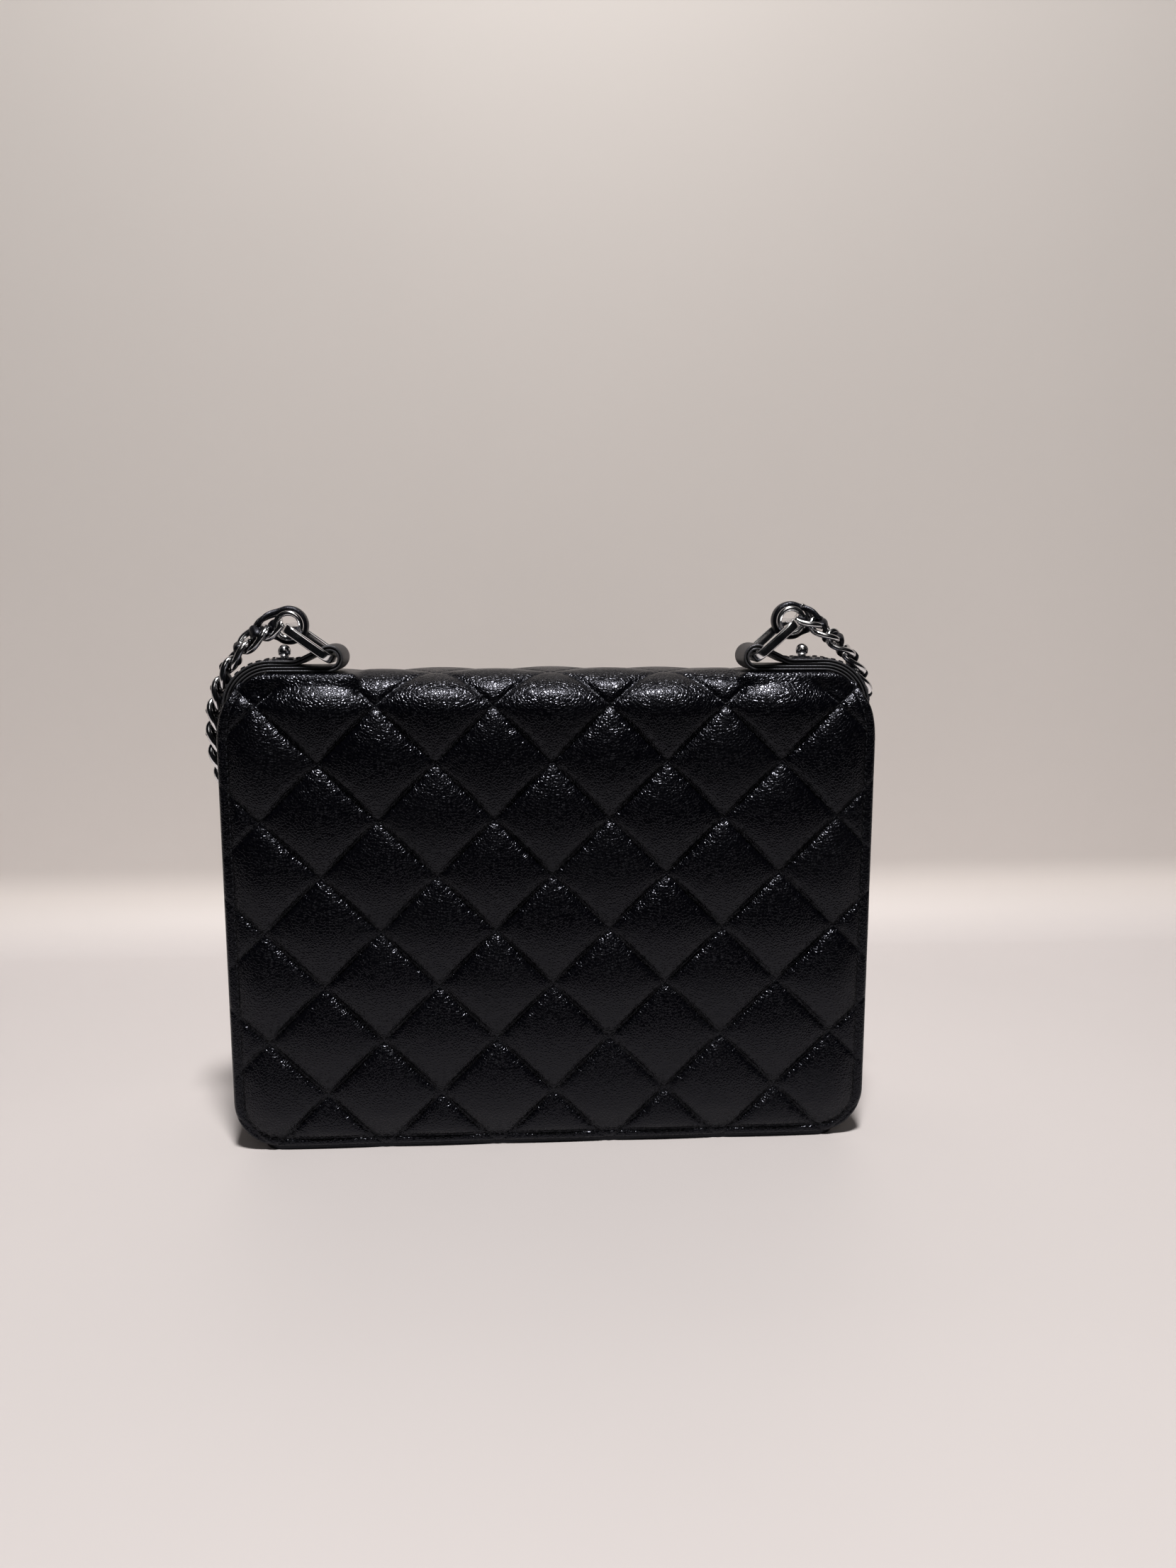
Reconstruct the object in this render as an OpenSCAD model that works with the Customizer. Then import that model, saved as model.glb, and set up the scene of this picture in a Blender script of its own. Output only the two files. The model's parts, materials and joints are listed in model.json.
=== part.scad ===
// Quilted crossbody purse on a laced chain strap, standing closed on its base.
// Millimetres, +Z up. The plain quilted back faces -Y and the flap closes over +Y.

/* [Body] */
// Width of the back panel
bag_w = 190; // [186:1:200]
// Height of the closed bag, without tabs and rings
bag_h = 142; // [138:1:150]
// Depth of the closed bag over both quilted faces
bag_d = 50; // [50:1:54]
// Radius of the soft roll where a face turns into the top
roll_r = 12; // [12:0.5:13]
// Radius of the back panel's lower corners
back_corner_r = 14; // [10:1:18]

/* [Layers] */
// Thickness of the outer leather
skin_t = 1.2; // [1:0.1:1.4]
// Thickness of the quilting foam
foam_t = 2; // [1.6:0.1:2.2]
// Thickness of the stiffening boards
board_t = 0.6; // [0.5:0.1:0.7]
// Thickness of the lining leather
lining_t = 0.6; // [0.5:0.1:0.7]

/* [Flap] */
// Where the flap folds, measured from the middle of the depth
fold_y = -1; // [-1:0.5:1]
// Height of the flap's lower edge above the table
flap_foot = 16; // [14:1:30]
// Radius of the flap's lower corners
flap_corner_r = 18; // [12:1:24]
// Height of the magnetic snap's centre
snap_z = 42; // [40:1:60]

/* [Inside] */
// Height of the front wall's top edge, which is the mouth
mouth_z = 120; // [118:1:122]
// Half the length of the zip chain
zip_half = 63; // [55:1:66]
// Spacing between two teeth of one side
tooth_pitch = 3; // [2.6:0.2:3.4]

/* [Strap tabs and rings] */
// Width of the tab straps
tab_w = 15; // [13:0.5:15]
// Thickness of one layer of the tab
tab_t = 1.8; // [1.6:0.1:1.8]
// Where the left tab's loop ends, measured from the middle
loop_left = 63; // [61:1:63]
// Where the right tab's loop ends, measured from the middle
loop_right = 60; // [58:1:63]
// Slope of the left strap ring at rest
slope_left = 36; // [36:1:44]
// Slope of the right strap ring at rest
slope_right = 42; // [36:1:44]
// Length of the strap ring between its two cross bars
ring_l = 14.5; // [14:0.5:15]
// Thickness of the ring's bars in its plane
ring_bar = 2; // [1.8:0.1:2]
// Thickness of the ring's bars across its plane
ring_t = 2.2; // [2:0.1:2.4]

/* [Chain strap] */
// Width of the flat laced chain
chain_w = 8.5; // [7.5:0.5:8.5]
// Thickness of the flat laced chain
chain_t = 4; // [3.6:0.1:4]
// Half the straight part of the wound-up strap
coil_half = 30; // [28:1:32]
// Radius of the wound-up strap's ends, at the middle of the chain
coil_r = 22; // [20:1:22]

/* [Hidden] */
$fn = 48;

wall_t = skin_t + foam_t + board_t + lining_t;
back_y = -bag_d / 2;
back_inner_y = back_y + wall_t;
flap_inner_y = -back_inner_y;
roll_y = back_y + roll_r;
roll_z = bag_h - roll_r;
half_fold_gap = 0.15;
corner_points = 8;
corner_a = 11;                       // how far the top corners pull in
corner_b = 20;                       // how far down they start
base_t = skin_t + 2 * board_t + lining_t;
wall_foot = base_t + 0.2;
front_gap = 1.4;                     // room for the snap between flap and front wall
front_y = flap_inner_y - front_gap;
front_inner_y = front_y - skin_t - board_t - lining_t;
front_half_w = bag_w / 2 - 4.5;

// The tab turns over the top corner on an arc round this point
turn_x = bag_w / 2 - 15;
turn_z = bag_h - 10;
turn_r = 10.4;
tab_y = back_inner_y + 0.2 + tab_w / 2;
leaf_z = turn_z + turn_r;
loop_in_r = 2.2;
loop_mid_r = loop_in_r + tab_t / 2;
loop_z = leaf_z + tab_t / 2 + loop_mid_r;
leaf_slope = 26;                     // how steeply the upper layer comes down from the loop
function loop_x(is_left) = is_left ? loop_left : loop_right;
function slope(is_left) = is_left ? slope_left : slope_right;
function rivet_x(is_left) = loop_x(is_left) + (is_left ? 14 : 15);
link_r = 3.6;
link_wire = 0.8;
function link_x(is_left) = loop_x(is_left) + (ring_l + 1) * cos(slope(is_left));
function link_z(is_left) = loop_z + (ring_l + 1) * sin(slope(is_left));

zip_y = -2.4;
zip_gap = 3.2;
zip_wall = 0.8;
zip_z = mouth_z - 2;
slider_x = zip_half - 3;               // the zip is closed at this end of the slider's run
pull_z = zip_z + 3;

coil_y = 57;
coil_low = 0.9;                      // the tie passes under the chain
coil_turns = 3;

// The strap's two runs, from the end link over the tab, down the side and across the table.
// Each point is [place, the direction that the chain's flat side faces].
run_left = [
    [[-81, -12.9, 155.4], [-0.1, -0.8, 0.7]], [[-84.8, -12.9, 152.8], [-0.4, -0.7, 0.6]],
    [[-88.8, -12.9, 149.2], [-0.7, -0.4, 0.6]], [[-92.2, -12.8, 145], [-0.8, -0.1, 0.5]],
    [[-95, -12.5, 140.2], [-0.9, 0, 0.4]], [[-97.2, -12, 134], [-1, 0, 0.2]],
    [[-98.3, -11.2, 127], [-1, 0, 0]], [[-98, -9.6, 118.5], [-1, 0.1, 0]],
    [[-96.2, -6, 109], [-1, 0.3, 0]], [[-94, -1, 99], [-1, 0.3, 0]],
    [[-92.4, 2.5, 88], [-1, 0.3, 0]], [[-91.8, 4.5, 74], [-1, 0.4, 0]],
    [[-91.8, 5.5, 61], [-1, 0.4, 0]], [[-92.2, 6, 49], [-0.9, 0.5, 0]],
    [[-93, 7.5, 36], [-0.6, 0.8, 0.1]], [[-94.2, 10, 23], [-0.3, 0.9, 0.4]],
    [[-94.8, 15, 12.5], [0, 0.7, 0.8]], [[-94.8, 20.5, 6], [0, 0.4, 1]],
    [[-93, 28, 3.4], [0, 0, 1]], [[-87, 33.3, 2.9], [0, 0, 1]],
    [[-79, 35, 2.9], [0, 0, 1]], [[-60, 35, 2.9], [0, 0, 1]],
    [[-30.2, 35, 2.9], [0, 0, 1]]];
run_right = [
    [[77.2, -12.9, 156.9], [0.1, -0.5, 0.9]], [[81.4, -12.9, 154.2], [0.4, -0.5, 0.8]],
    [[85.6, -12.6, 150.6], [0.6, -0.4, 0.7]], [[89.6, -11.6, 146.4], [0.8, -0.1, 0.6]],
    [[93.4, -9.2, 141.3], [0.9, 0, 0.4]], [[95.9, -6.5, 135.2], [1, 0, 0.2]],
    [[95.6, -1, 128], [1, 0, 0]], [[93.9, 1.5, 120], [1, 0.1, 0]],
    [[92.4, 3.5, 110], [1, 0.1, 0]], [[91.8, 4.5, 96], [1, 0.2, 0]],
    [[91.6, 5, 80], [1, 0.3, 0]], [[91.8, 5.5, 64], [1, 0.4, 0]],
    [[92.2, 6, 50], [0.9, 0.5, 0]], [[93, 7.5, 36], [0.6, 0.8, 0.1]],
    [[94.2, 10, 23], [0.3, 0.9, 0.4]], [[94.8, 15, 12.5], [0, 0.7, 0.8]],
    [[94.8, 20.5, 6], [0, 0.4, 1]], [[93, 28, 3.4], [0, 0, 1]],
    [[87, 33.3, 3], [0, 0, 1]], [[79, 35, 3.4], [0, 0, 1]],
    [[64, 35, 6], [-0.2, 0, 1]], [[48, 35, 9.5], [-0.1, 0, 1]],
    [[30.2, 35, 10.9], [0, 0, 1]]];
run_sides = 8;

// ---------- helpers ----------

// Draws a Y-Z outline and carries it along X, or an X-Z outline along Y between two planes.
module along_x(length) rotate([90, 0, 90]) linear_extrude(height = length, center = true) children();
module along_y(from, to) translate([0, to, 0]) rotate([90, 0, 0]) linear_extrude(height = to - from) children();

module left_and_right_of(is_left) mirror([is_left ? 1 : 0, 0, 0]) children();

// Right half of a panel's outline: a round lower corner, then an elliptical top corner.
function half_outline(half_w, foot, low_r, top, a, b) = concat(
    [for (i = [0 : corner_points]) let (t = -90 + 90 * i / corner_points)
        [half_w - low_r + low_r * cos(t), foot + low_r + low_r * sin(t)]],
    [for (i = [0 : corner_points]) let (t = 90 * i / corner_points)
        [half_w - a + a * cos(t), top - b + b * sin(t)]]);

module panel_outline(half_w, foot, low_r, top, a, b) {
    right = half_outline(half_w, foot, low_r, top, a, b);
    last = len(right) - 1;
    polygon(concat(right, [for (i = [last : -1 : 0]) [-right[i][0], right[i][1]]]));
}

module rounded_rect(w, h, r) {
    square([w - 2 * r, h], center = true);
    square([w, h - 2 * r], center = true);
    for (x = [-1, 1], y = [-1, 1])
        translate([x * (w / 2 - r), y * (h / 2 - r)]) circle(r = r);
}

// Section of one layer of the back: up the face, over the soft roll, and along the top to the lip.
// near and far are the layer's depths under the outer surface.
module wall_section(near, far, foot, lip) {
    translate([back_y + near, foot]) square([far - near, roll_z - foot]);
    intersection() {
        translate([roll_y, roll_z]) difference() {
            circle(r = roll_r - near);
            circle(r = roll_r - far);
        }
        translate([back_y, roll_z]) square([roll_r, roll_r]);
    }
    translate([roll_y, bag_h - far]) square([lip - roll_y, far - near]);
}

// The space that the back's layers fill: full width at the face, and cut round for the tabs on top.
module back_space(inset, foot, low_r) {
    along_y(back_y - 1, back_inner_y)
        panel_outline(bag_w / 2 - inset, foot, low_r, bag_h, corner_a, corner_b);
    along_y(back_inner_y, fold_y + 1)
        panel_outline(turn_x + 10 - inset, foot, low_r, bag_h, 10 - inset, 10 - inset);
}

module back_layer(near, far, inset, foot, low_r) intersection() {
    along_x(bag_w + 2) wall_section(near, far, foot, fold_y - half_fold_gap);
    back_space(inset, foot, low_r);
}

module flap_layer(near, far, inset) intersection() {
    along_x(bag_w + 2) mirror([1, 0])
        wall_section(near, far, flap_foot + inset, -fold_y - half_fold_gap);
    along_y(fold_y - 1, bag_d / 2 + 1)
        panel_outline(bag_w / 2 - 1 - inset, flap_foot + inset, flap_corner_r, bag_h, corner_a, corner_b);
}

module front_layer(from, to, inset) along_y(from, to)
    panel_outline(front_half_w - inset, wall_foot, 8, mouth_z, 6, 6);

module snap_hole(from, to, r) along_y(from, to) translate([0, snap_z]) circle(r = r);

// ---------- back wall ----------

module back_panel() color("#14141a") back_layer(0, skin_t, 0, 0.8, back_corner_r);
module back_foam() color("#e6e0c8") back_layer(skin_t, skin_t + foam_t, 1.5, wall_foot, back_corner_r);
module back_board() color("#8c7a5c")
    back_layer(skin_t + foam_t, skin_t + foam_t + board_t, 1.5, wall_foot, back_corner_r);
module back_lining() color("#1c1c20")
    back_layer(wall_t - lining_t, wall_t, 1.5, wall_foot, back_corner_r);

module slip_pocket() color("#1c1c20")
    along_y(back_inner_y, back_inner_y + 0.8) panel_outline(60, 14, 4, 82, 3, 3);

// ---------- base ----------

module base_layer(low, high, half_w, front) color("#16161a") translate([0, 0, low])
    linear_extrude(height = high - low)
        translate([0, (front + back_y + 1.4) / 2]) rounded_rect(2 * half_w, front - back_y - 1.4, 6);
module base_panel() base_layer(0, skin_t, 87, front_y);
module base_board() base_layer(skin_t, skin_t + 2 * board_t, 86, front_y - 0.6);
module base_lining() base_layer(skin_t + 2 * board_t, base_t, 86, front_y - 0.6);

// ---------- front wall ----------

module front_panel() color("#14141a") difference() {
    front_layer(front_y - skin_t, front_y, 0);
    snap_hole(front_y - skin_t - 1, front_y + 1, 1.6);
}
module front_board() color("#8c7a5c") difference() {
    front_layer(front_y - skin_t - board_t, front_y - skin_t, 1);
    snap_hole(front_y - 5, front_y + 1, 6.2);
}
module front_lining() color("#1c1c20") front_layer(front_inner_y, front_inner_y + lining_t, 0);

// ---------- side gussets ----------

// Two pleats folded inwards between the back and the front wall
gusset_out = front_half_w - 1.1;
gusset_in = gusset_out - 10;
gusset_line = [[gusset_out, back_inner_y], [gusset_in, -11.5], [gusset_out - 1, -2],
               [gusset_in, 7.5], [gusset_out, front_inner_y]];
gusset_shift = 1.4;
module gusset(is_left) color("#17171c") left_and_right_of(is_left)
    translate([0, 0, wall_foot]) linear_extrude(height = mouth_z - wall_foot)
        polygon(concat(gusset_line, [for (i = [4 : -1 : 0]) gusset_line[i] - [gusset_shift, 0]]));

// ---------- zip pocket that divides the inside ----------

module zip_pocket() color("#1c1c20") along_x(2 * (gusset_in - gusset_shift - 1)) {
    outer = zip_gap + 2 * zip_wall;
    translate([zip_y - outer / 2, base_t]) square([outer, zip_wall]);
    for (side = [-1, 1])
        translate([zip_y + side * (outer - zip_wall) / 2 - zip_wall / 2, base_t])
            square([zip_wall, zip_z - base_t]);
}

module zip_tape(side) color("#101014")
    translate([0, zip_y + side * (zip_gap / 2 - 0.25), zip_z - 5.5])
        cube([2 * zip_half + 8, 0.5, 8.6], center = true);

// The two rows stand a little apart, so that the slider's rib can run between them.
module zip_teeth() color("#c8c8cc")
    for (x = [-zip_half : tooth_pitch : zip_half - 8], side = [-1, 1])
        translate([x + (side + 1) * tooth_pitch / 4, zip_y + side * 0.975, zip_z - 0.5])
            cube([1.2, 1.25, 1.4], center = true);

module zip_stops() color("#c8c8cc") for (end = [-1, 1])
    translate([end * (zip_half + 2.6), zip_y, zip_z - 0.4]) cube([1.6, 2.9, 1.6], center = true);

module zip_slider() color("#d0d0d4") translate([slider_x, zip_y, zip_z]) {
    translate([0, 0, 0.5]) linear_extrude(height = 0.8) rounded_rect(9, 6.4, 2);
    translate([0, 0, -2.7]) linear_extrude(height = 0.8) rounded_rect(9, 1.8, 0.8);
    translate([2, 0, -0.7]) cube([1.6, 0.5, 2.6], center = true);
    for (side = [-1, 1]) {
        translate([0, side * 1.5 + 0.4, 3]) rotate([90, 0, 0]) cylinder(r = 1.3, h = 0.8);
        translate([-1.3, side * 1.5 - 0.4, 1.2]) cube([2.6, 0.8, 1.8]);
    }
    translate([0, 1.9, 3]) rotate([90, 0, 0]) cylinder(r = 0.6, h = 3.8);
}

module zip_pull() color("#d0d0d4") translate([slider_x, zip_y, pull_z]) difference() {
    union() {
        translate([0, 0.85, 0]) rotate([90, 0, 0]) cylinder(r = 1.3, h = 1.7);
        translate([-3.4, 0, 0]) cube([5.4, 1.7, 0.9], center = true);
        translate([-9.6, 0, -0.45]) linear_extrude(height = 0.9) rounded_rect(8.4, 4, 1.6);
    }
    translate([0, 3, 0]) rotate([90, 0, 0]) cylinder(r = 0.68, h = 6);
    translate([-11.4, 0, -2]) cylinder(r = 1, h = 4);
}

// ---------- magnetic snap ----------

module snap_stud() color("#b8b8bc") {
    snap_hole(front_y - skin_t, front_y, 1.5);
    snap_hole(front_y, front_y + 0.9, 7);
    snap_hole(front_y + 0.9, front_y + 1.8, 2.2);
}
module snap_stud_washer() color("#9a9a9e") snap_hole(front_y - skin_t - board_t, front_y - skin_t, 6);
module snap_socket() color("#b8b8bc") difference() {
    snap_hole(flap_inner_y - 0.2, flap_inner_y + lining_t + board_t, 7.4);
    snap_hole(flap_inner_y - 1, flap_inner_y + 0.8, 3);
}
module snap_socket_washer() color("#9a9a9e")
    snap_hole(flap_inner_y + lining_t + board_t, flap_inner_y + lining_t + board_t + 0.6, 6);

// ---------- flap ----------

module flap_panel() color("#14141a") flap_layer(0, skin_t, 0);
module flap_foam() color("#e6e0c8") difference() {
    flap_layer(skin_t, skin_t + foam_t, 1.5);
    snap_hole(0, flap_inner_y + lining_t + board_t + 0.6, 6.2);
}
module flap_board() color("#8c7a5c") difference() {
    flap_layer(skin_t + foam_t, skin_t + foam_t + board_t, 1.5);
    snap_hole(0, bag_d, 7.6);
}
module flap_lining() color("#1c1c20") difference() {
    flap_layer(wall_t - lining_t, wall_t, 1.5);
    snap_hole(0, bag_d, 7.6);
}

// ---------- strap tabs ----------

// The part that stays sewn into the side seam: a flat strap, then two layers turned over the corner.
module tab_root(is_left) color("#17171c") left_and_right_of(is_left)
    along_y(back_inner_y, tab_y + tab_w / 2) {
        translate([turn_x + turn_r, 104]) square([tab_t, turn_z - 104]);
        translate([turn_x, turn_z]) intersection() {
            difference() {
                circle(r = turn_r + 2 * tab_t);
                circle(r = turn_r);
            }
            square(turn_r + 2 * tab_t);
        }
    }

// The part that swings: a lower layer, the loop round the ring, and the upper layer riveted back to it.
module tab_section(loop_x) {
    drop = loop_mid_r * cos(leaf_slope) - (loop_z - leaf_z - 1.5 * tab_t);
    start = [loop_x + loop_mid_r * sin(leaf_slope), loop_z + loop_mid_r * cos(leaf_slope)];
    run = (start[1] - leaf_z - 1.5 * tab_t) / sin(leaf_slope);
    flat_x = start[0] + run * cos(leaf_slope);
    translate([loop_x, leaf_z]) square([turn_x - 0.1 - loop_x, tab_t]);
    translate([flat_x - 0.4, leaf_z + tab_t]) square([turn_x - 0.1 - flat_x + 0.4, tab_t]);
    translate(start) rotate(-leaf_slope) translate([0, -tab_t / 2]) square([run, tab_t]);
    translate([loop_x, loop_z]) difference() {
        circle(r = loop_in_r + tab_t);
        circle(r = loop_in_r);
        polygon([[0, 0], [0, -20], [20, -20], [20 * sin(leaf_slope), 20 * cos(leaf_slope)]]);
    }
}

module tab(is_left) color("#17171c") left_and_right_of(is_left) difference() {
    along_y(tab_y - tab_w / 2, tab_y + tab_w / 2) tab_section(loop_x(is_left));
    translate([rivet_x(is_left), tab_y, leaf_z - 1]) cylinder(r = 1.3, h = 2 * tab_t + 2);
}

module tab_rivet(is_left) color("#c9c9cf") left_and_right_of(is_left)
    translate([rivet_x(is_left), tab_y, leaf_z]) {
    cylinder(r = 1.25, h = 2 * tab_t + 1);
    translate([0, 0, 2 * tab_t]) cylinder(r = 2.6, h = 0.5);
    translate([0, 0, 2 * tab_t + 2.2]) sphere(r = 1.9);
}

// ---------- strap rings and end links ----------

module strap_ring(is_left) color("#cfcfd6") left_and_right_of(is_left)
    translate([loop_x(is_left), tab_y, loop_z]) rotate([0, -slope(is_left), 0])
        translate([ring_l / 2, 0, -ring_t / 2]) linear_extrude(height = ring_t) difference() {
            rounded_rect(ring_l + ring_bar, tab_w + 0.8 + 2 * ring_bar, 3.4);
            rounded_rect(ring_l - ring_bar, tab_w + 0.8, 1.4);
        }

module end_link(is_left) color("#cfcfd6") left_and_right_of(is_left)
    translate([link_x(is_left), tab_y, link_z(is_left)]) rotate([90, 0, 0])
        rotate_extrude() translate([link_r, 0]) circle(r = link_wire);

// ---------- chain strap ----------

function unit(v) = v / norm(v);
function run_point(run, i) = run[max(0, min(len(run) - 1, i))][0];
function run_ring(run, i) =
    let (along = unit(run_point(run, i + 1) - run_point(run, i - 1)),
         across = unit(cross(along, run[i][1])),
         out = cross(across, along))
    [for (k = [0 : run_sides - 1]) let (t = 360 * (k + 0.5) / run_sides)
        run[i][0] + across * chain_w / 2 * cos(t) / cos(180 / run_sides)
                  + out * chain_t / 2 * sin(t) / cos(180 / run_sides)];

module strap_run(run) color("#55555c") {
    rings = len(run);
    polyhedron(
        points = [for (i = [0 : rings - 1]) each run_ring(run, i)],
        faces = concat(
            [[for (k = [0 : run_sides - 1]) k]],
            [for (i = [0 : rings - 2], k = [0 : run_sides - 1]) let (m = (k + 1) % run_sides)
                each [[i * run_sides + k, (i + 1) * run_sides + k, (i + 1) * run_sides + m],
                      [i * run_sides + k, (i + 1) * run_sides + m, i * run_sides + m]]],
            [[for (k = [run_sides - 1 : -1 : 0]) (rings - 1) * run_sides + k]]));
}

module stadium(r) {
    square([2 * coil_half, 2 * r], center = true);
    for (side = [-1, 1]) translate([side * coil_half, 0]) circle(r = r);
}

module strap_coil() color("#55555c") translate([0, coil_y, coil_low])
    linear_extrude(height = coil_turns * chain_t) difference() {
        stadium(coil_r + chain_w / 2);
        stadium(coil_r - chain_w / 2);
    }

module strap_tie() color("#202024") along_x(10) translate([coil_y - coil_r, coil_low + coil_turns * chain_t / 2])
    difference() {
        square([chain_w + 2.2, coil_turns * chain_t + 2 * coil_low], center = true);
        square([chain_w + 0.4, coil_turns * chain_t + 0.2], center = true);
    }

back_panel();
back_foam();
back_board();
back_lining();
base_panel();
base_board();
base_lining();
front_panel();
front_board();
front_lining();
gusset(true);  // gusset_left
gusset(false);  // gusset_right
slip_pocket();
zip_pocket();
zip_tape(-1);  // zip_tape_rear
zip_tape(1);  // zip_tape_front
zip_teeth();
zip_stops();
zip_slider();
zip_pull();
snap_stud();
snap_stud_washer();
flap_panel();
flap_foam();
flap_board();
flap_lining();
snap_socket();
snap_socket_washer();
tab_root(true);  // tab_root_left
tab_root(false);  // tab_root_right
tab(true);  // tab_left
tab(false);  // tab_right
tab_rivet(true);  // tab_rivet_left
tab_rivet(false);  // tab_rivet_right
strap_ring(true);  // strap_ring_left
strap_ring(false);  // strap_ring_right
end_link(true);  // end_link_left
end_link(false);  // end_link_right
strap_run(run_left);  // strap_run_left
strap_run(run_right);  // strap_run_right
strap_coil();
strap_tie();
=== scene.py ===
# %% [markdown]
# # A quilted crossbody purse
# A small flap bag stands on its base with its plain quilted back towards us. One quilted skin climbs the
# back, rolls over the top and comes down the far side as the flap. Two leather tabs hold metal rings, and a
# laced chain runs from ring to ring. Lengths are in metres, and `MM` turns a maker's millimetres into them.

# %% Load the frame
import json
import math
import bmesh
import bpy
import numpy as np
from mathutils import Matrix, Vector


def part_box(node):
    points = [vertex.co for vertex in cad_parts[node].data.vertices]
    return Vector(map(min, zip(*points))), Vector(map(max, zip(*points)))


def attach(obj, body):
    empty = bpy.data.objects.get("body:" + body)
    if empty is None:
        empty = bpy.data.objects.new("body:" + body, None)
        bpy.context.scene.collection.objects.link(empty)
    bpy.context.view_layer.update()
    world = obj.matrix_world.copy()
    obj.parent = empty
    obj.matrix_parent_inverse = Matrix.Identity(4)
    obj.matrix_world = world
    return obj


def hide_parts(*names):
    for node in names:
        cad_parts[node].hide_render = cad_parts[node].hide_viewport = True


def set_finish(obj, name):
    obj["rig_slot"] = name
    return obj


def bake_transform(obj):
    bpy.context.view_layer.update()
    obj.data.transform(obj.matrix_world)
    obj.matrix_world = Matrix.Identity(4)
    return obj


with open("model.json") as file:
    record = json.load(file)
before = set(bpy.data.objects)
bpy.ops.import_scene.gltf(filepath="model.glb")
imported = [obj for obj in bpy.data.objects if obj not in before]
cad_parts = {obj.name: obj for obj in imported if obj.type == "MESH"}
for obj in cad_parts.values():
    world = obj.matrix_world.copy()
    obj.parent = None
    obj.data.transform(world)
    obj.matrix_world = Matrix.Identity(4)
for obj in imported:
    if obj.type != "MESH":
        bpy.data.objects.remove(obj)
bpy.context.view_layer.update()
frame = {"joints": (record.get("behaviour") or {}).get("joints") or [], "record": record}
MM = 0.001

# %% [markdown]
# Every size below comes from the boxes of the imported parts, so the looks follow the design when it changes.

# %% Read the driving sizes
def corners(node):
    """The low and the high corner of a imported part, as arrays."""
    return [np.array(corner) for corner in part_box(node)]


back_low, back_high = corners("back_panel")
flap_low, flap_high = corners("flap_panel")
tab_low, tab_high = corners("tab_right")
front_low, front_high = corners("front_panel")
gusset_low, gusset_high = corners("gusset_right")
coil_low, coil_high = corners("strap_coil")
SIDES = {"left": -1, "right": 1}
HALF_WIDTH = back_high[0]
FLAP_HALF = flap_high[0]
BACK_Y, FRONT_Y = back_low[1], flap_high[1]
TOP_Z, BACK_FOOT, FLAP_FOOT = back_high[2], back_low[2], flap_low[2]
ROLL = 12 * MM
TAB_Y = (tab_low[1] + tab_high[1]) / 2
print(f"bag {2 * HALF_WIDTH:.3f} wide, {FRONT_Y - BACK_Y:.3f} deep, {TOP_Z:.3f} high")

# %% [markdown]
# A Blender mesh is a list of points and a list of faces. Our shapes come from numpy as whole arrays, so one
# helper turns arrays into an object. A closed shape then has its faces turned outwards by Blender itself.

# %% Helpers that make objects
def make_piece(name, points, faces, closed=True):
    """An object from points and lists of faces, shaded smooth; a closed skin is turned outwards."""
    mesh = bpy.data.meshes.new(name)
    groups = faces if isinstance(faces, list) else [faces]
    corner_lists = [face for group in groups for face in group.tolist()]
    mesh.from_pydata(np.asarray(points, float).reshape(-1, 3).tolist(), [], corner_lists)
    if closed:
        work = bmesh.new()
        work.from_mesh(mesh)
        bmesh.ops.recalc_face_normals(work, faces=work.faces)
        work.to_mesh(mesh)
        work.free()
    mesh.polygons.foreach_set("use_smooth", np.ones(len(mesh.polygons), bool))
    piece = bpy.data.objects.new(name, mesh)
    bpy.context.scene.collection.objects.link(piece)
    print(f"{name}: {len(mesh.polygons)} faces")
    return piece


def grid_faces(rows, columns, close_rows=False, close_columns=False, start=0):
    """Quads between neighbours of a rows x columns grid of points, wrapped round where a side is closed."""
    r = np.arange(rows if close_rows else rows - 1)[:, None]
    c = np.arange(columns if close_columns else columns - 1)[None, :]
    r2, c2 = (r + 1) % rows, (c + 1) % columns
    quads = np.stack([r * columns + c, r * columns + c2, r2 * columns + c2, r2 * columns + c], -1)
    return quads.reshape(-1, 4) + start


def closed_stack(name, rings):
    """A closed piece from rings of points, one ring per row, with its first and last ring filled in."""
    rows, columns = rings.shape[:2]
    rim = np.arange(columns)[None]
    return make_piece(name, rings, [grid_faces(rows, columns, False, True), rim, rim + (rows - 1) * columns])


def distance_along(points):
    """How far each point lies from the first one, measured along the line through them."""
    return np.concatenate([[0], np.cumsum(np.linalg.norm(np.diff(points, axis=0), axis=1))])


def squared(wave, power):
    """A sine or cosine raised to a power with its sign kept: a small power squares a circle off."""
    return np.sign(wave) * np.abs(wave) ** power


def in_plane(flat, y, sign=1):
    """Rows (x, z) as rows (x, y, z), with x turned to the side that sign says."""
    return np.stack(np.broadcast_arrays(sign * flat[:, 0], y, flat[:, 1]), -1)


def unit(v):
    """Each row divided by its own length."""
    return v / np.maximum(np.linalg.norm(v, axis=-1, keepdims=True), 1e-12)


def smoothstep(x, low, high):
    """0 below low, 1 above high, and 3t^2 - 2t^3 between them."""
    t = np.clip((x - low) / (high - low), 0, 1)
    return t * t * (3 - 2 * t)


# %% [markdown]
# ## The camera
# It stands a forearm's length behind the bag, a little above it, and looks slightly down and to the right.

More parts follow.
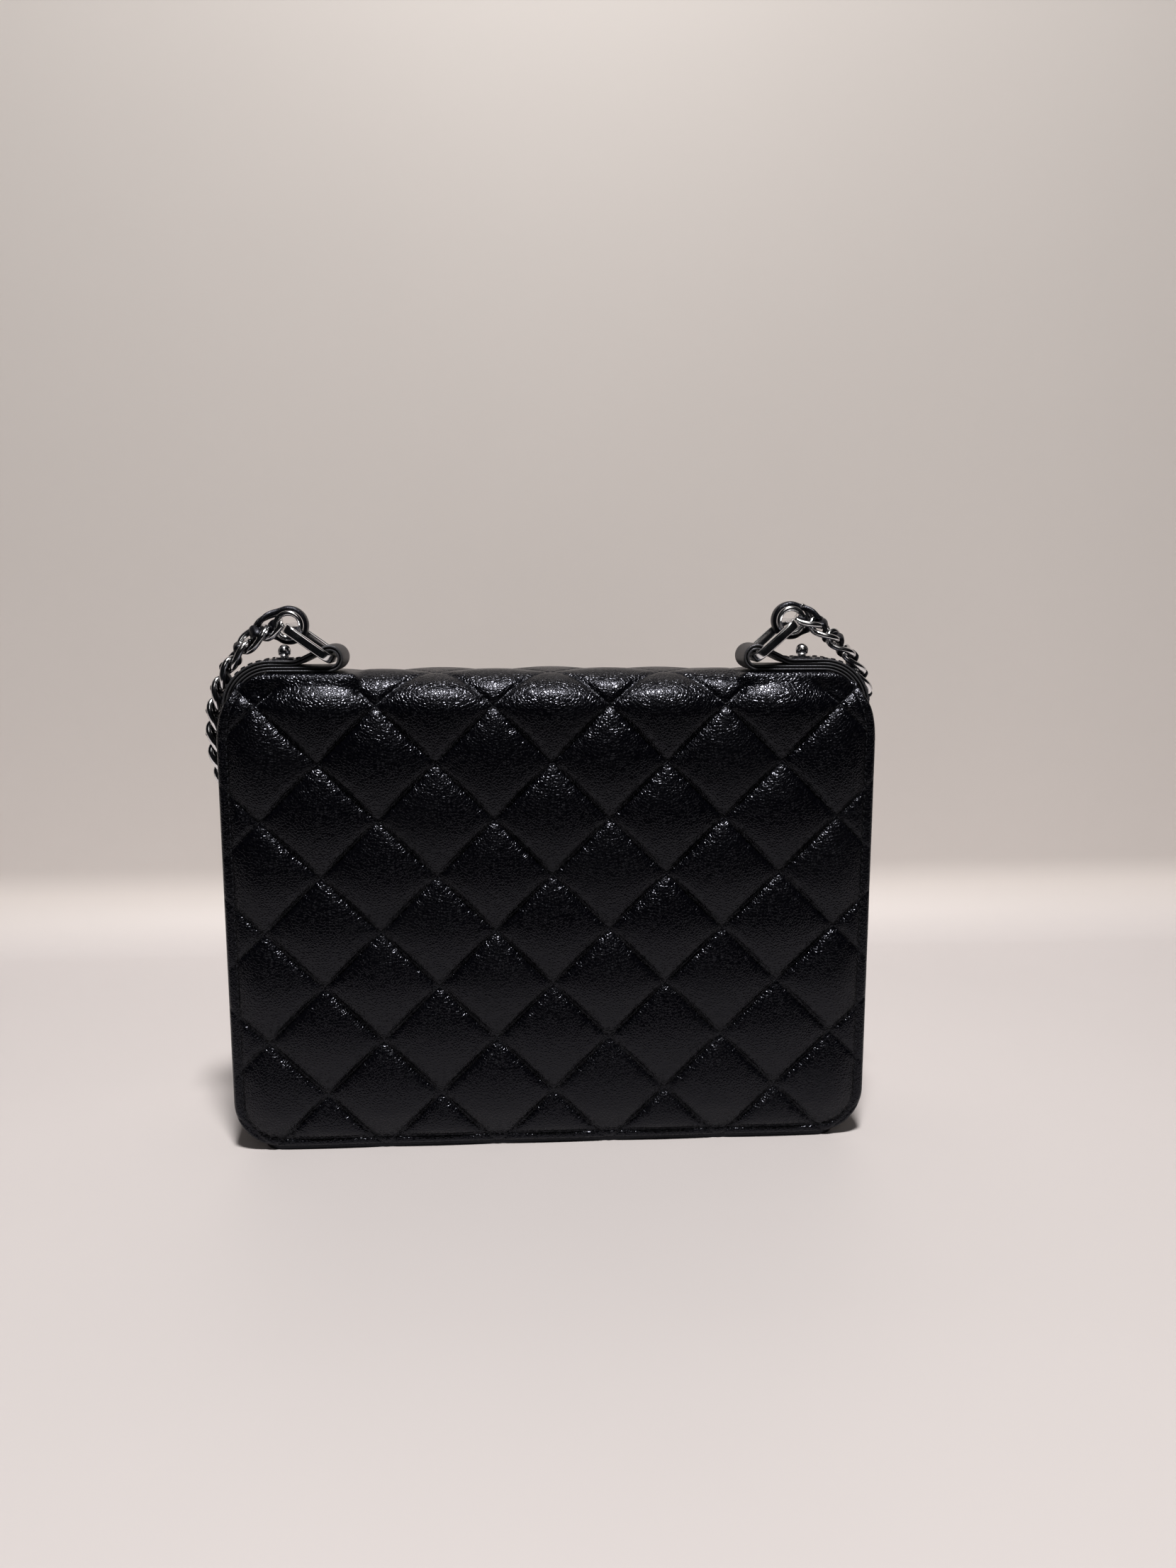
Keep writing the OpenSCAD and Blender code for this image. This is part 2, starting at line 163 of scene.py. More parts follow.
# %% Camera
CAMERA_PLACE = (-10.6 * MM, -361 * MM, 163 * MM)
CAMERA_YAW, CAMERA_PITCH = 3.58, 8.9
SENSOR, LENS = 36, 27.05
camera = bpy.data.objects.new("camera", bpy.data.cameras.new("camera"))
camera.data.sensor_width = SENSOR
camera.data.lens = LENS
camera.location = CAMERA_PLACE
camera.rotation_euler = (math.radians(90 - CAMERA_PITCH), 0, math.radians(-CAMERA_YAW))
camera.data.clip_start = 0.01
bpy.context.scene.collection.objects.link(camera)
bpy.context.scene.camera = camera
print("camera", CAMERA_PLACE)

# %% [markdown]
# ## The strap
# A laced chain has a fixed length, so it is laid along a route: from the end link over the tab, down the
# side, across the table and into a tied hank. The route's points are listed, and each also says
# which way the flat side of the chain faces. A smooth curve through them is walked in even steps.

# %% The strap's route
RUN_LEFT = [
    ((-81, -12.9, 155.4), (-0.1, -0.8, 0.7)), ((-84.8, -12.9, 152.8), (-0.4, -0.7, 0.6)),
    ((-88.8, -12.9, 149.2), (-0.7, -0.4, 0.6)), ((-92.2, -12.8, 145), (-0.8, -0.1, 0.5)),
    ((-95, -12.5, 140.2), (-0.9, 0, 0.4)), ((-97.2, -12, 134), (-1, 0, 0.2)),
    ((-98.3, -11.2, 127), (-1, 0, 0)), ((-98, -9.6, 118.5), (-1, 0.1, 0)),
    ((-96.2, -6, 109), (-1, 0.3, 0)), ((-94, -1, 99), (-1, 0.3, 0)),
    ((-92.4, 2.5, 88), (-1, 0.3, 0)), ((-91.8, 4.5, 74), (-1, 0.4, 0)),
    ((-91.8, 5.5, 61), (-1, 0.4, 0)), ((-92.2, 6, 49), (-0.9, 0.5, 0)),
    ((-93, 7.5, 36), (-0.6, 0.8, 0.1)), ((-94.2, 10, 23), (-0.3, 0.9, 0.4)),
    ((-94.8, 15, 12.5), (0, 0.7, 0.8)), ((-94.8, 20.5, 6), (0, 0.4, 1)),
    ((-93, 28, 3.4), (0, 0, 1)), ((-87, 33.3, 2.9), (0, 0, 1)),
    ((-79, 35, 2.9), (0, 0, 1)), ((-60, 35, 2.9), (0, 0, 1)),
    ((-30.2, 35, 2.9), (0, 0, 1))]
RUN_RIGHT = [
    ((77.2, -12.9, 156.9), (0.1, -0.5, 0.9)), ((81.4, -12.9, 154.2), (0.4, -0.5, 0.8)),
    ((85.6, -12.6, 150.6), (0.6, -0.4, 0.7)), ((89.6, -11.6, 146.4), (0.8, -0.1, 0.6)),
    ((93.4, -9.2, 141.3), (0.9, 0, 0.4)), ((95.9, -6.5, 135.2), (1, 0, 0.2)),
    ((95.6, -1, 128), (1, 0, 0)), ((93.9, 1.5, 120), (1, 0.1, 0)),
    ((92.4, 3.5, 110), (1, 0.1, 0)), ((91.8, 4.5, 96), (1, 0.2, 0)),
    ((91.6, 5, 80), (1, 0.3, 0)), ((91.8, 5.5, 64), (1, 0.4, 0)),
    ((92.2, 6, 50), (0.9, 0.5, 0)), ((93, 7.5, 36), (0.6, 0.8, 0.1)),
    ((94.2, 10, 23), (0.3, 0.9, 0.4)), ((94.8, 15, 12.5), (0, 0.7, 0.8)),
    ((94.8, 20.5, 6), (0, 0.4, 1)), ((93, 28, 3.4), (0, 0, 1)),
    ((87, 33.3, 3), (0, 0, 1)), ((79, 35, 3.4), (0, 0, 1)),
    ((64, 35, 6), (-0.2, 0, 1)), ((48, 35, 9.5), (-0.1, 0, 1)),
    ((30.2, 35, 10.9), (0, 0, 1))]
CHAIN_WIDTH, CHAIN_THICK = 8.5 * MM, 4 * MM
STEP = 0.5 * MM
LEAD_IN = 0.9


def through(points, samples=16):
    """Catmull-Rom curve: each span is a cubic that meets its ends along their neighbours' chord."""
    p = np.array(points, float)
    p = np.vstack([2 * p[0] - p[1], p, 2 * p[-1] - p[-2]])
    t = np.linspace(0, 1, samples, endpoint=False)[None, :, None]
    a, b, c, d = (p[i:len(p) - 3 + i, None, :] for i in range(4))
    square, cube = 2 * a - 5 * b + 4 * c - d, 3 * b - a - 3 * c + d
    curve = 0.5 * (2 * b + (c - a) * t + square * t**2 + cube * t**3)
    return np.vstack([curve.reshape(-1, p.shape[1]), p[-2]])


def hank_turn(level, rise):
    """One turn of the hank: near side, far end, far side, near end. Its last part climbs onto the next."""
    straight = (coil_high[0] - coil_low[0]) / 2 - (coil_high[1] - coil_low[1]) / 2
    centre_y = (coil_low[1] + coil_high[1]) / 2
    radius = (coil_high[1] - coil_low[1]) / 2 - CHAIN_WIDTH / 2
    turn = np.radians(np.linspace(-90, 90, 40))
    bend = np.stack([straight + radius * np.cos(turn), centre_y + radius * np.sin(turn)], -1)
    near = np.stack([np.linspace(-straight, straight, 40)[:-1], np.full(39, centre_y - radius)], -1)
    half = np.vstack([near, bend])
    other = half * [-1, -1] + [0, 2 * centre_y]
    flat = np.vstack([half, other[1:]])
    walked = distance_along(flat)
    z = level + rise * smoothstep(walked, 0.72 * walked[-1], walked[-1])
    return np.column_stack([flat, z])


def walk(points, normals):
    """Even steps of a route, with the chain's own axes there: along, across and out of its flat side."""
    length = distance_along(points)
    keep = np.concatenate([[True], np.diff(length) > 1e-9])
    length, points, normals = length[keep], points[keep], normals[keep]
    s = np.linspace(0, length[-1], round(length[-1] / STEP) + 1)
    p = np.stack([np.interp(s, length, points[:, k]) for k in range(3)], -1)
    n = np.stack([np.interp(s, length, normals[:, k]) for k in range(3)], -1)
    along = unit(np.gradient(p, axis=0))
    across = unit(np.cross(along, n))
    return s, p, along, across, np.cross(across, along)


def half_strap(run, coil):
    """The walk of one half of the strap, from its end link to the middle of the strap in the hank."""
    rows = np.array([(*p, *n) for p, n in run], float)
    lead_in = rows[0] - LEAD_IN * (rows[1] - rows[0])
    rows = through(np.vstack([lead_in, rows]))
    points = np.vstack([rows[:, :3] * MM, coil[1:]])
    up = np.tile([0.0, 0.0, 1.0], (len(coil) - 1, 1))
    return walk(points, np.vstack([unit(rows[:, 3:]), up]))


first_level = coil_low[2] + CHAIN_THICK / 2
middle = np.array([0, coil_low[1] + CHAIN_WIDTH / 2, first_level + CHAIN_THICK])
turn_one = hank_turn(first_level, CHAIN_THICK)
turn_two = hank_turn(first_level + CHAIN_THICK, CHAIN_THICK)
near_end = turn_one[0] * [-1, 1, 1]
left_walk = half_strap(RUN_LEFT, np.vstack([turn_one, middle]))
right_coil = np.vstack([middle, turn_two[20:], near_end + [0, 0, 2 * CHAIN_THICK]])
right_walk = half_strap(RUN_RIGHT, right_coil[::-1])
print("half lengths", left_walk[0][-1], right_walk[0][-1])

# %% [markdown]
# A curb link is an oval ring of wire with a twist: its two sides rise and dip, so that each link passes over
# the next on one side and under it on the other. One template link is carried along the walk. The links near
# the tabs are seen closely, so they are finer than the ones in the hank.

# %% Curb links
LINK_PITCH, WIRE = 6.6 * MM, 0.9 * MM
LINK_LONG, LINK_WIDE, LINK_TWIST = 4.9 * MM, 3.4 * MM, 1.1 * MM
FINE_LINK, PLAIN_LINK = (36, 10), (14, 4)


def carry(frame_walk, s, w, h):
    """Points at s along the walk, w across the flat of the chain and h out of it."""
    steps, p, _, across, out = frame_walk
    at = lambda rows: np.stack([np.interp(s, steps, rows[:, k]) for k in range(3)], -1)
    return at(p) + at(across) * w[..., None] + at(out) * h[..., None]


def curb_link(segments, sides):
    """A ring of wire round the line (a cos t, b sin t, c sin 2t), as rows of (along, across, out)."""
    t = np.linspace(0, 2 * math.pi, segments, endpoint=False)
    cos, sin = np.cos(t), np.sin(t)
    line = np.stack([LINK_LONG * cos, LINK_WIDE * sin, LINK_TWIST * np.sin(2 * t)], -1)
    along = unit(np.stack([-LINK_LONG * sin, LINK_WIDE * cos, 2 * LINK_TWIST * np.cos(2 * t)], -1))
    side = unit(np.cross(along, [0.0, 0.0, 1.0]))
    up = np.cross(side, along)
    a = np.linspace(0, 2 * math.pi, sides, endpoint=False)[None, :, None]
    return line[:, None] + WIRE * (np.cos(a) * side[:, None] + np.sin(a) * up[:, None])


def chain(name, frame_walk, fine_links=20):
    """Curb links along the whole walk: fine ones where they are seen, plain ones in the hank."""
    total = int((frame_walk[0][-1] - 2 * MM) / LINK_PITCH)
    points, faces, start = [], [], 0
    for first, last, detail in ((0, fine_links, FINE_LINK), (fine_links, total, PLAIN_LINK)):
        segments, sides = detail
        link = curb_link(segments, sides)
        centres = (np.arange(first, last) + 0.5) * LINK_PITCH
        s = centres[:, None, None] + link[None, ..., 0]
        w, h = (np.broadcast_to(link[None, ..., k], s.shape) for k in (1, 2))
        points.append(carry(frame_walk, s, w, h).reshape(-1, 3))
        ring = grid_faces(segments, sides, True, True)
        copies = np.arange(last - first)[:, None, None] * segments * sides + start
        faces.append((ring[None] + copies).reshape(-1, 4))
        start += (last - first) * segments * sides
    return make_piece(name, np.vstack(points), faces)


chain_left = chain("chain_left", left_walk)
chain_right = chain("chain_right", right_walk)

# %% [markdown]
# The lace is a flat leather cord that weaves through the links: over one wire, under the next. Its height
# is a cosine with the links' own pitch, and it bulges wider on each hump, where nothing squeezes it.

# %% Leather lace
LACE_HUMP, LACE_HALF, LACE_THICK, LACE_BULGE = 1.7 * MM, 1.8 * MM, 0.72 * MM, 0.5 * MM
LACE_SHIFT, LACE_SUNK, LACE_OUT = 1.6 * MM, 1.1 * MM, 5.5 * MM


def strip(name, centre, across, out, wide, thick, power=0.6, sides=10, cut_edge=False, closed=False):
    """A closed strap along a line, with half its width and thickness given. Each section is a rounded
    rectangle, the superellipse |cos|^p, |sin|^p."""
    a = np.linspace(0, 2 * math.pi, sides, endpoint=False)
    u, v = squared(np.cos(a), power), squared(np.sin(a), power)
    wide, thick = (np.broadcast_to(half, len(centre))[:, None, None] for half in (wide, thick))
    rows = centre[:, None] + wide * u[None, :, None] * across[:, None]
    rows = rows + thick * v[None, :, None] * out[:, None]
    if closed:
        return make_piece(name, rows, grid_faces(len(centre), sides, True, True))
    ends = np.stack([rows[0].mean(0), rows[-1].mean(0)])
    count, last = rows.shape[0] * sides, (rows.shape[0] - 1) * sides
    k = np.arange(sides)
    caps = [np.stack([(k + 1) % sides, k, np.full(sides, count)], -1),
            np.stack([last + k, last + (k + 1) % sides, np.full(sides, count + 1)], -1)]
    points = np.vstack([rows.reshape(-1, 3), ends])
    piece = make_piece(name, points, [grid_faces(len(centre), sides, False, True), *caps])
    if cut_edge:
        mark = piece.data.attributes.new("cut_edge", "FLOAT", "POINT")
        edge = np.tile(smoothstep(np.abs(u), 0.9, 1), len(centre))
        mark.data.foreach_set("value", np.concatenate([edge, [0, 0]]))
    return piece


def lace(name, frame_walk):
    """A strap whose height is H cos(2 pi s / pitch), wider where the cosine is near its ends. It starts low,
    inside the first link, and comes up from there."""
    s = np.arange(1 * MM, frame_walk[0][-1] - 1 * MM, 0.45 * MM)
    phase = 2 * math.pi * (s / LINK_PITCH - 0.5 + LACE_SHIFT / LINK_PITCH)
    rise = smoothstep(s, 1 * MM, LACE_OUT)
    zero = np.zeros_like(s)
    centre = carry(frame_walk, s, zero, LACE_HUMP * np.cos(phase) * rise - LACE_SUNK * (1 - rise))
    along = unit(np.gradient(centre, axis=0))
    across = carry(frame_walk, s, np.ones_like(s), zero) - carry(frame_walk, s, zero, zero)
    half = (LACE_HALF + LACE_BULGE * np.abs(np.cos(phase))) * (0.55 + 0.45 * rise)
    return strip(name, centre, unit(across), unit(np.cross(across, along)), half, LACE_THICK)


lace_left = lace("lace_left", left_walk)
lace_right = lace("lace_right", right_walk)

# %% [markdown]
# Where the strap starts, its lace goes round the ring's far bar in a fat loop, beside the end link.

# %% Lace loops round the rings
LOOP_RADIUS, LOOP_ASIDE = 4.7 * MM, 3.2 * MM


def lace_loop(name, side):
    """A loop of lace: a circle round the ring's far bar, with both tails running out to the strap."""
    low, high = corners(f"end_link_{side}")
    sign = SIDES[side]
    cx, cz = sign * (low[0] + high[0]) / 2, (low[2] + high[2]) / 2
    turn = np.radians(np.linspace(-48, -318, 30))
    round_x, round_z = LOOP_RADIUS * np.cos(turn), LOOP_RADIUS * np.sin(turn)
    circle = np.stack([cx + 0.4 * MM + round_x, cz + 0.1 * MM + round_z], -1)
    low_tail = np.array([[cx + 8.6 * MM, cz - 0.8 * MM], [cx + 6 * MM, cz - 2.4 * MM]])
    high_tail = np.array([[cx + 6.2 * MM, cz + 3 * MM], [cx + 8.8 * MM, cz + 0.2 * MM]])
    flat = through(np.vstack([low_tail, circle[::3], high_tail]), 8)
    centre = in_plane(flat, TAB_Y + LOOP_ASIDE, sign)
    inward = smoothstep(flat[:, 0], cx + 3 * MM, cx + 8.6 * MM)
    centre[:, 1] -= 3 * MM * inward
    across = np.tile([0.0, 1.0, 0.0], (len(centre), 1))
    out = unit(np.cross(across, np.gradient(centre, axis=0)))
    wide, thick = 2.1 * MM - 1.1 * MM * inward, 0.95 * MM - 0.25 * MM * inward
    return strip(name, centre, across, out, wide, thick, sides=12)


loop_left = lace_loop("lace_loop_left", "left")
loop_right = lace_loop("lace_loop_right", "right")

# %% [markdown]
# The tie is a short leather band round the near side of the hank, with its end overlapped.

# %% Tie round the hank
def tie_band():
    """A band whose section is a rounded box, swept round the bundle: |cos|^p, |sin|^p with a small power."""
    low, high = corners("strap_tie")
    centre, half = (low + high) / 2, (high - low) / 2
    a = np.linspace(0, 2 * math.pi, 64, endpoint=False)
    inset = 0.55 * MM
    deep, tall = (half[1] - inset) * squared(np.cos(a), 0.35), (half[2] - inset) * squared(np.sin(a), 0.35)
    ring = np.stack([np.zeros(64), deep, tall], -1)
    out = unit(ring)
    b = np.linspace(0, 2 * math.pi, 12, endpoint=False)
    wide, thick = half[0] * squared(np.cos(b), 0.5), inset * squared(np.sin(b), 0.5)
    points = centre + ring[:, None] + wide[None, :, None] * np.array([1, 0, 0])
    points = points + thick[None, :, None] * out[:, None]
    return make_piece("hank_tie", points, grid_faces(64, 12, True, True))


hank_tie = tie_band()
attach(hank_tie, "root")
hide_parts("strap_tie")
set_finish(hank_tie, "plain_leather")

# %% [markdown]
# Each half of the strap stays where it was drawn and takes its finish. The lace's loop swings with
# its ring.

for side, links, leather_cord, leather_loop, route in (
        ("left", chain_left, lace_left, loop_left, left_walk),
        ("right", chain_right, lace_right, loop_right, right_walk)):
    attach(leather_loop, f"ring_{side}")
    for piece in (links, leather_cord):
        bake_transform(piece)
    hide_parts(f"strap_run_{side}", "strap_coil")
    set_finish(links, "polished_metal")
    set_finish(leather_cord, "plain_leather")
    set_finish(leather_loop, "plain_leather")
    print(side, "strap half", round(float(route[0][-1]), 3), "m")

# %% [markdown]
# ## The quilted skin
# On the real bag, thin lambskin is laid over foam and sewn down along a net of crossing lines. Between the
# lines the foam pushes the skin up into pillows. The skin is one long piece, so we use two coordinates on it:
# `x` across the bag and `v` along the skin, from the foot of the back, over the top, to the foot of the flap.

# %% The skin's section and outline
V_ARC = TOP_Z - ROLL - BACK_FOOT
V_TOP = V_ARC + ROLL * math.pi / 2
V_DOWN = V_TOP + (FRONT_Y - BACK_Y) - 2 * ROLL
V_FRONT = V_DOWN + ROLL * math.pi / 2
V_END = V_FRONT + TOP_Z - ROLL - FLAP_FOOT
BACK_CORNER, FLAP_CORNER = 14 * MM, 18 * MM


def section(v):
    """Place and outward normal, each (y, z), at v: up, a quarter circle, flat, a quarter circle, down."""
    rise = np.clip((v - V_ARC) / ROLL, 0, math.pi / 2)
    fall = np.clip((v - V_DOWN) / ROLL, 0, math.pi / 2)
    y = BACK_Y + ROLL * (1 - np.cos(rise)) + np.clip(v - V_TOP, 0, V_DOWN - V_TOP) + ROLL * np.sin(fall)
    z = BACK_FOOT + np.clip(v, 0, V_ARC) + ROLL * np.sin(rise) - ROLL * (1 - np.cos(fall))
    z = z - np.clip(v - V_FRONT, 0, None)
    turn = rise + fall
    return y, z, -np.cos(turn), np.sin(turn)


def half_width(v):
    """Half the skin's width at v: round corners at both feet, and shoulders that are part of an ellipse."""
    y, z, _, _ = section(v)
    low = np.clip(v / BACK_CORNER, 0, 1)
    foot = BACK_CORNER * (np.sqrt(1 - (1 - low) ** 2) - 1)
    high = np.clip((V_END - v) / FLAP_CORNER, 0, 1)
    foot = foot + FLAP_CORNER * (np.sqrt(1 - (1 - high) ** 2) - 1)
    up = np.clip((z - 122 * MM) / (20 * MM), 0, 1)
    shoulder = 11 * MM * (np.sqrt(1 - up**2) - 1)
    side_up = np.clip((z - 132 * MM) / (10 * MM), 0, 1)
    wide = HALF_WIDTH + (FLAP_HALF - HALF_WIDTH) * smoothstep(y, -3 * MM, 6 * MM)
    inner = 90 * MM + 10 * MM * (np.sqrt(1 - side_up**2) - 1)
    inside = smoothstep(y, BACK_Y + 3 * MM, BACK_Y + 8 * MM) * (1 - smoothstep(y, -5 * MM, 3 * MM))
    outer = wide + shoulder
    return outer + foot + inside * (np.minimum(inner, outer) - outer)


def edge_distance(x, v):
    """How far (x, v) lies inside the skin's outline: to the sides, to the feet, or to the round corners."""
    x = np.abs(x)
    side = half_width(np.clip(v, BACK_CORNER, V_END - FLAP_CORNER)) - x
    e = np.minimum(side, np.minimum(v, V_END - v))
    for radius, wide, w in ((BACK_CORNER, HALF_WIDTH, v), (FLAP_CORNER, FLAP_HALF, V_END - v)):
        dx, dw = x - (wide - radius), radius - w
        e = np.where((dx > 0) & (dw > 0), radius - np.hypot(dx, dw), e)
    return np.maximum(e, 0)


print(f"skin is {V_END:.3f} m long")

# %% [markdown]
# The net of seams has diamonds a little over 33 mm wide and tall. For every point we work out how far it is
# from the nearest seam of each direction; the pillow's height is a steep start times a round crown for each.

# %% The height of the quilting
DIAMOND_WIDE, DIAMOND_TALL = 33.55 * MM, 33.2 * MM
NET_X, NET_V = 16.9 * MM, -0.45 * MM
SEAM_GAP = DIAMOND_WIDE * DIAMOND_TALL / math.hypot(DIAMOND_WIDE, DIAMOND_TALL)
STITCHES_PER_SIDE, EDGE_PITCH = 10, 2.3 * MM
SEAM_DEPTH, PUFF, EDGE_SEAM = 1.15 * MM, 3.5 * MM, 2.8 * MM
PUCKER, PULL, SAG, BAND, TOP_SLOPE = 0.11 * MM, 0.07 * MM, 0.25 * MM, 0.9 * MM, 1.4 * MM


def net(x, v):
    """The two slanted coordinates; seams run where either is a whole number."""
    across, up = (x - NET_X) / DIAMOND_WIDE, (v - NET_V) / DIAMOND_TALL
    return across + up, across - up


def crown(d, reach=SEAM_GAP / 2):
    """0 on a seam and 1 at its pillow's middle: a steep start and a round crown, which add up as
    0.42 (1 - exp(-d / 0.6 mm)) + 0.58 (1 - (1 - d / reach)^2)."""
    t = np.clip(d / reach, 0, 1)
    return 0.42 * (1 - np.exp(-d / (0.6 * MM))) + 0.58 * (1 - (1 - t) ** 2)


def hashed(i, j, seed):
    """A repeatable number from 0 to 1 for each diamond: the fraction of a large sine."""
    wave = np.sin(i * 127.1 + j * 311.7 + seed * 74.7) * 43758.5453
    return wave - np.floor(wave)


def perimeter():
    """Points (x, v) of the seam that runs round the whole skin, a few millimetres inside its edge."""
    side_v = np.arange(BACK_CORNER, V_END - FLAP_CORNER, 0.5 * MM)
    right = np.stack([half_width(side_v) - EDGE_SEAM, side_v], -1)
    turn = np.radians(np.linspace(0, 90, 30))
    r1, r2 = FLAP_CORNER - EDGE_SEAM, BACK_CORNER - EDGE_SEAM
    cos, sin = np.cos(turn), np.sin(turn)
    far = np.stack([FLAP_HALF - FLAP_CORNER + r1 * cos, V_END - FLAP_CORNER + r1 * sin], -1)
    near = np.stack([HALF_WIDTH - BACK_CORNER + r2 * sin, BACK_CORNER - r2 * cos], -1)
    half = np.vstack([near, right, far])
    return np.vstack([half, half[::-1] * [-1, 1], half[:1]])


def tab_underside(x):
    """Height of a tab's lower face over the skin: flat along the top, then round the bag's corner."""
    beyond = np.clip(np.abs(x) - 80 * MM, 0, 10.2 * MM)
    return 132 * MM + np.sqrt((10.3 * MM) ** 2 - beyond**2)


def plateau(x, foot, start, end, far_foot):
    """1 between start and end, falling smoothly to 0 at both feet."""
    return smoothstep(x, foot, start) * (1 - smoothstep(x, end, far_foot))


def tab_press(x, v):
    """1 where a tab lies on the skin, and 0 a little way off it."""
    near, far = 7.5 * MM, 10.5 * MM
    on_y = plateau(section(v)[0], TAB_Y - far, TAB_Y - near, TAB_Y + near, TAB_Y + far)
    top = plateau(v, V_ARC + 6 * MM, V_ARC + 10 * MM, V_DOWN, V_DOWN + 4 * MM)
    return on_y * top * smoothstep(np.abs(x), 53 * MM, 57 * MM)


def puckers(d, along, shift, other):
    """The stitches' small bumps beside a seam, and the longer pulls that cross it. Both fade with distance d
    from it: a Gauss hill times a cosine, and exp(-d / 3.2 mm) times a slower cosine."""
    beat = 2 * math.pi * STITCHES_PER_SIDE
    bumps = np.exp(-((d - 0.7 * MM) / (0.8 * MM)) ** 2) * np.cos(beat * along)
    pulls = np.exp(-d / (3.2 * MM)) * np.cos(beat * along / 2 + 6 * shift) * np.clip(other / (5 * MM), 0, 1)
    return bumps, pulls


def quilt_height(x, v):
    """The skin's height over its smooth section: seams, pillows, puckers, border, edge and a sloping top."""
    a, b = net(x, v)
    ia, ib = np.floor(a), np.floor(b)
    da, db = np.abs(a - np.round(a)) * SEAM_GAP, np.abs(b - np.round(b)) * SEAM_GAP
    e = edge_distance(x, v)
    de = np.maximum(e - EDGE_SEAM, 0)
    fullness = 0.9 + 0.2 * hashed(ia, ib, 1)
    lean = 1 + 0.10 * (hashed(ia, ib, 2) - 0.5) * (a - ia - 0.5)
    lean = lean + 0.10 * (hashed(ia, ib, 3) - 0.5) * (b - ib - 0.5)
    pillow = crown(da) * crown(db) * np.where(e > EDGE_SEAM, crown(de, 9 * MM), 0) * fullness * lean
    pucker_a, pull_a = puckers(da, b, hashed(np.round(a), ib, 4), db)
    pucker_b, pull_b = puckers(db, a, hashed(ia, np.round(b), 5), da)
    inside = smoothstep(e, EDGE_SEAM + 0.6 * MM, EDGE_SEAM + 3 * MM)
    ripple = (PUCKER * (pucker_a + pucker_b) + PULL * (pull_a + pull_b)) * inside
    slow = SAG * np.sin(x / (31 * MM) + 1.3) * np.sin(v / (24 * MM) + 0.4) * smoothstep(e, 0, 20 * MM)
    border = np.clip(e / EDGE_SEAM, 0, 1)
    tied = np.minimum(crown(da), crown(db)) ** 0.5
    band = BAND * (1 - (2 * border - 1) ** 2) ** 0.6 * (e < EDGE_SEAM) * tied
    by_edge = np.exp(-((e - EDGE_SEAM) / (1.1 * MM)) ** 2)
    along_edge = 0.10 * MM * np.cos((x + v) * 2 * math.pi / EDGE_PITCH) * by_edge
    on_top = plateau(v, V_ARC + 5 * MM, V_ARC + 15 * MM, V_DOWN + 3 * MM, V_DOWN + 14 * MM)
    y, z, _, out_z = section(v)
    slope = TOP_SLOPE * on_top * smoothstep(y, TAB_Y + 6 * MM, FRONT_Y - 6 * MM)
    height = (-SEAM_DEPTH + PUFF * pillow + ripple + band + along_edge) * (1 - 0.6 * on_top) + slow - slope
    round_edge = 1 - np.clip(e / (1.1 * MM), 0, 1)
    height = height - 1.0 * MM * (1 - np.sqrt(np.maximum(1 - round_edge**2, 0)))
    press = tab_press(x, v)
    under_tab = np.clip((tab_underside(x) - z) / np.maximum(out_z, 0.35), 0.05 * MM, 3.2 * MM)
    return height * (1 - press) + under_tab * 0.97 * press


def on_skin(x, v, lift=0.0):
    """The point of the quilted skin at (x, v), with a further lift along the section's normal."""
    y, z, ny, nz = section(v)
    h = quilt_height(x, v) + lift
    return np.stack(np.broadcast_arrays(x, y + ny * h, z + nz * h), -1)


# %% [markdown]
# The skin's mesh is one closed ring of points per row: the quilted side, the rim, and the plain inner side.
# Rows and columns crowd together at the edges, where the skin rounds over.

# %% Build the quilted skin
SKIN_DEPTH, RIM_DEPTH, RIM_BULGE = 3.7 * MM, 2.7 * MM, 0.25 * MM
GRID = 0.56 * MM
CROWDED = np.array([0, 0.12, 0.3, 0.6, 0.95, 1.4]) * MM


def skin_rows():
    """Rows v: crowded at both feet, spaced by angle round the corners, and even in between."""
    turn = 1 - np.cos(np.radians(np.arange(0, 91, 4.0)))
    low = np.union1d(CROWDED, BACK_CORNER * turn)
    high = V_END - np.union1d(CROWDED, FLAP_CORNER * turn)
    even = np.linspace(BACK_CORNER, V_END - FLAP_CORNER, int((V_END - BACK_CORNER - FLAP_CORNER) / GRID))
    near, far = np.arange(0.002, 0.0139, GRID), V_END - np.arange(0.002, 0.0179, GRID)
    rows = np.union1d(np.union1d(low, high), np.concatenate([even, near, far]))
    return rows[np.concatenate([[True], np.diff(rows) > 0.05 * MM])]


def build_skin():
    """Rings of points, each one row of the skin: its quilted side, its rims and its inner side."""
    v = skin_rows()[:, None]
    wide = half_width(v)
    even = np.linspace(-1, 1, int(2 * HALF_WIDTH / GRID))[None]
    inset = 1 - CROWDED[1:] / HALF_WIDTH
    u = np.sort(np.concatenate([even.ravel(), inset, -inset]))[None]
    x = u * wide
    quilted = on_skin(x, np.broadcast_to(v, x.shape))
    y, z, ny, nz = section(v)
    across = np.linspace(1, -1, 25)[None]
    at = lambda xs, depth: np.stack(np.broadcast_arrays(xs, y - ny * depth, z - nz * depth), -1)
    bulge = RIM_BULGE * (wide > 0.08)
    rim_right, rim_left = at(wide + bulge, RIM_DEPTH), at(-wide - bulge, RIM_DEPTH)
    inner = at(across * (wide - 0.2 * MM), SKIN_DEPTH)
    return closed_stack("quilted_skin", np.concatenate([quilted, rim_right, inner, rim_left], 1))


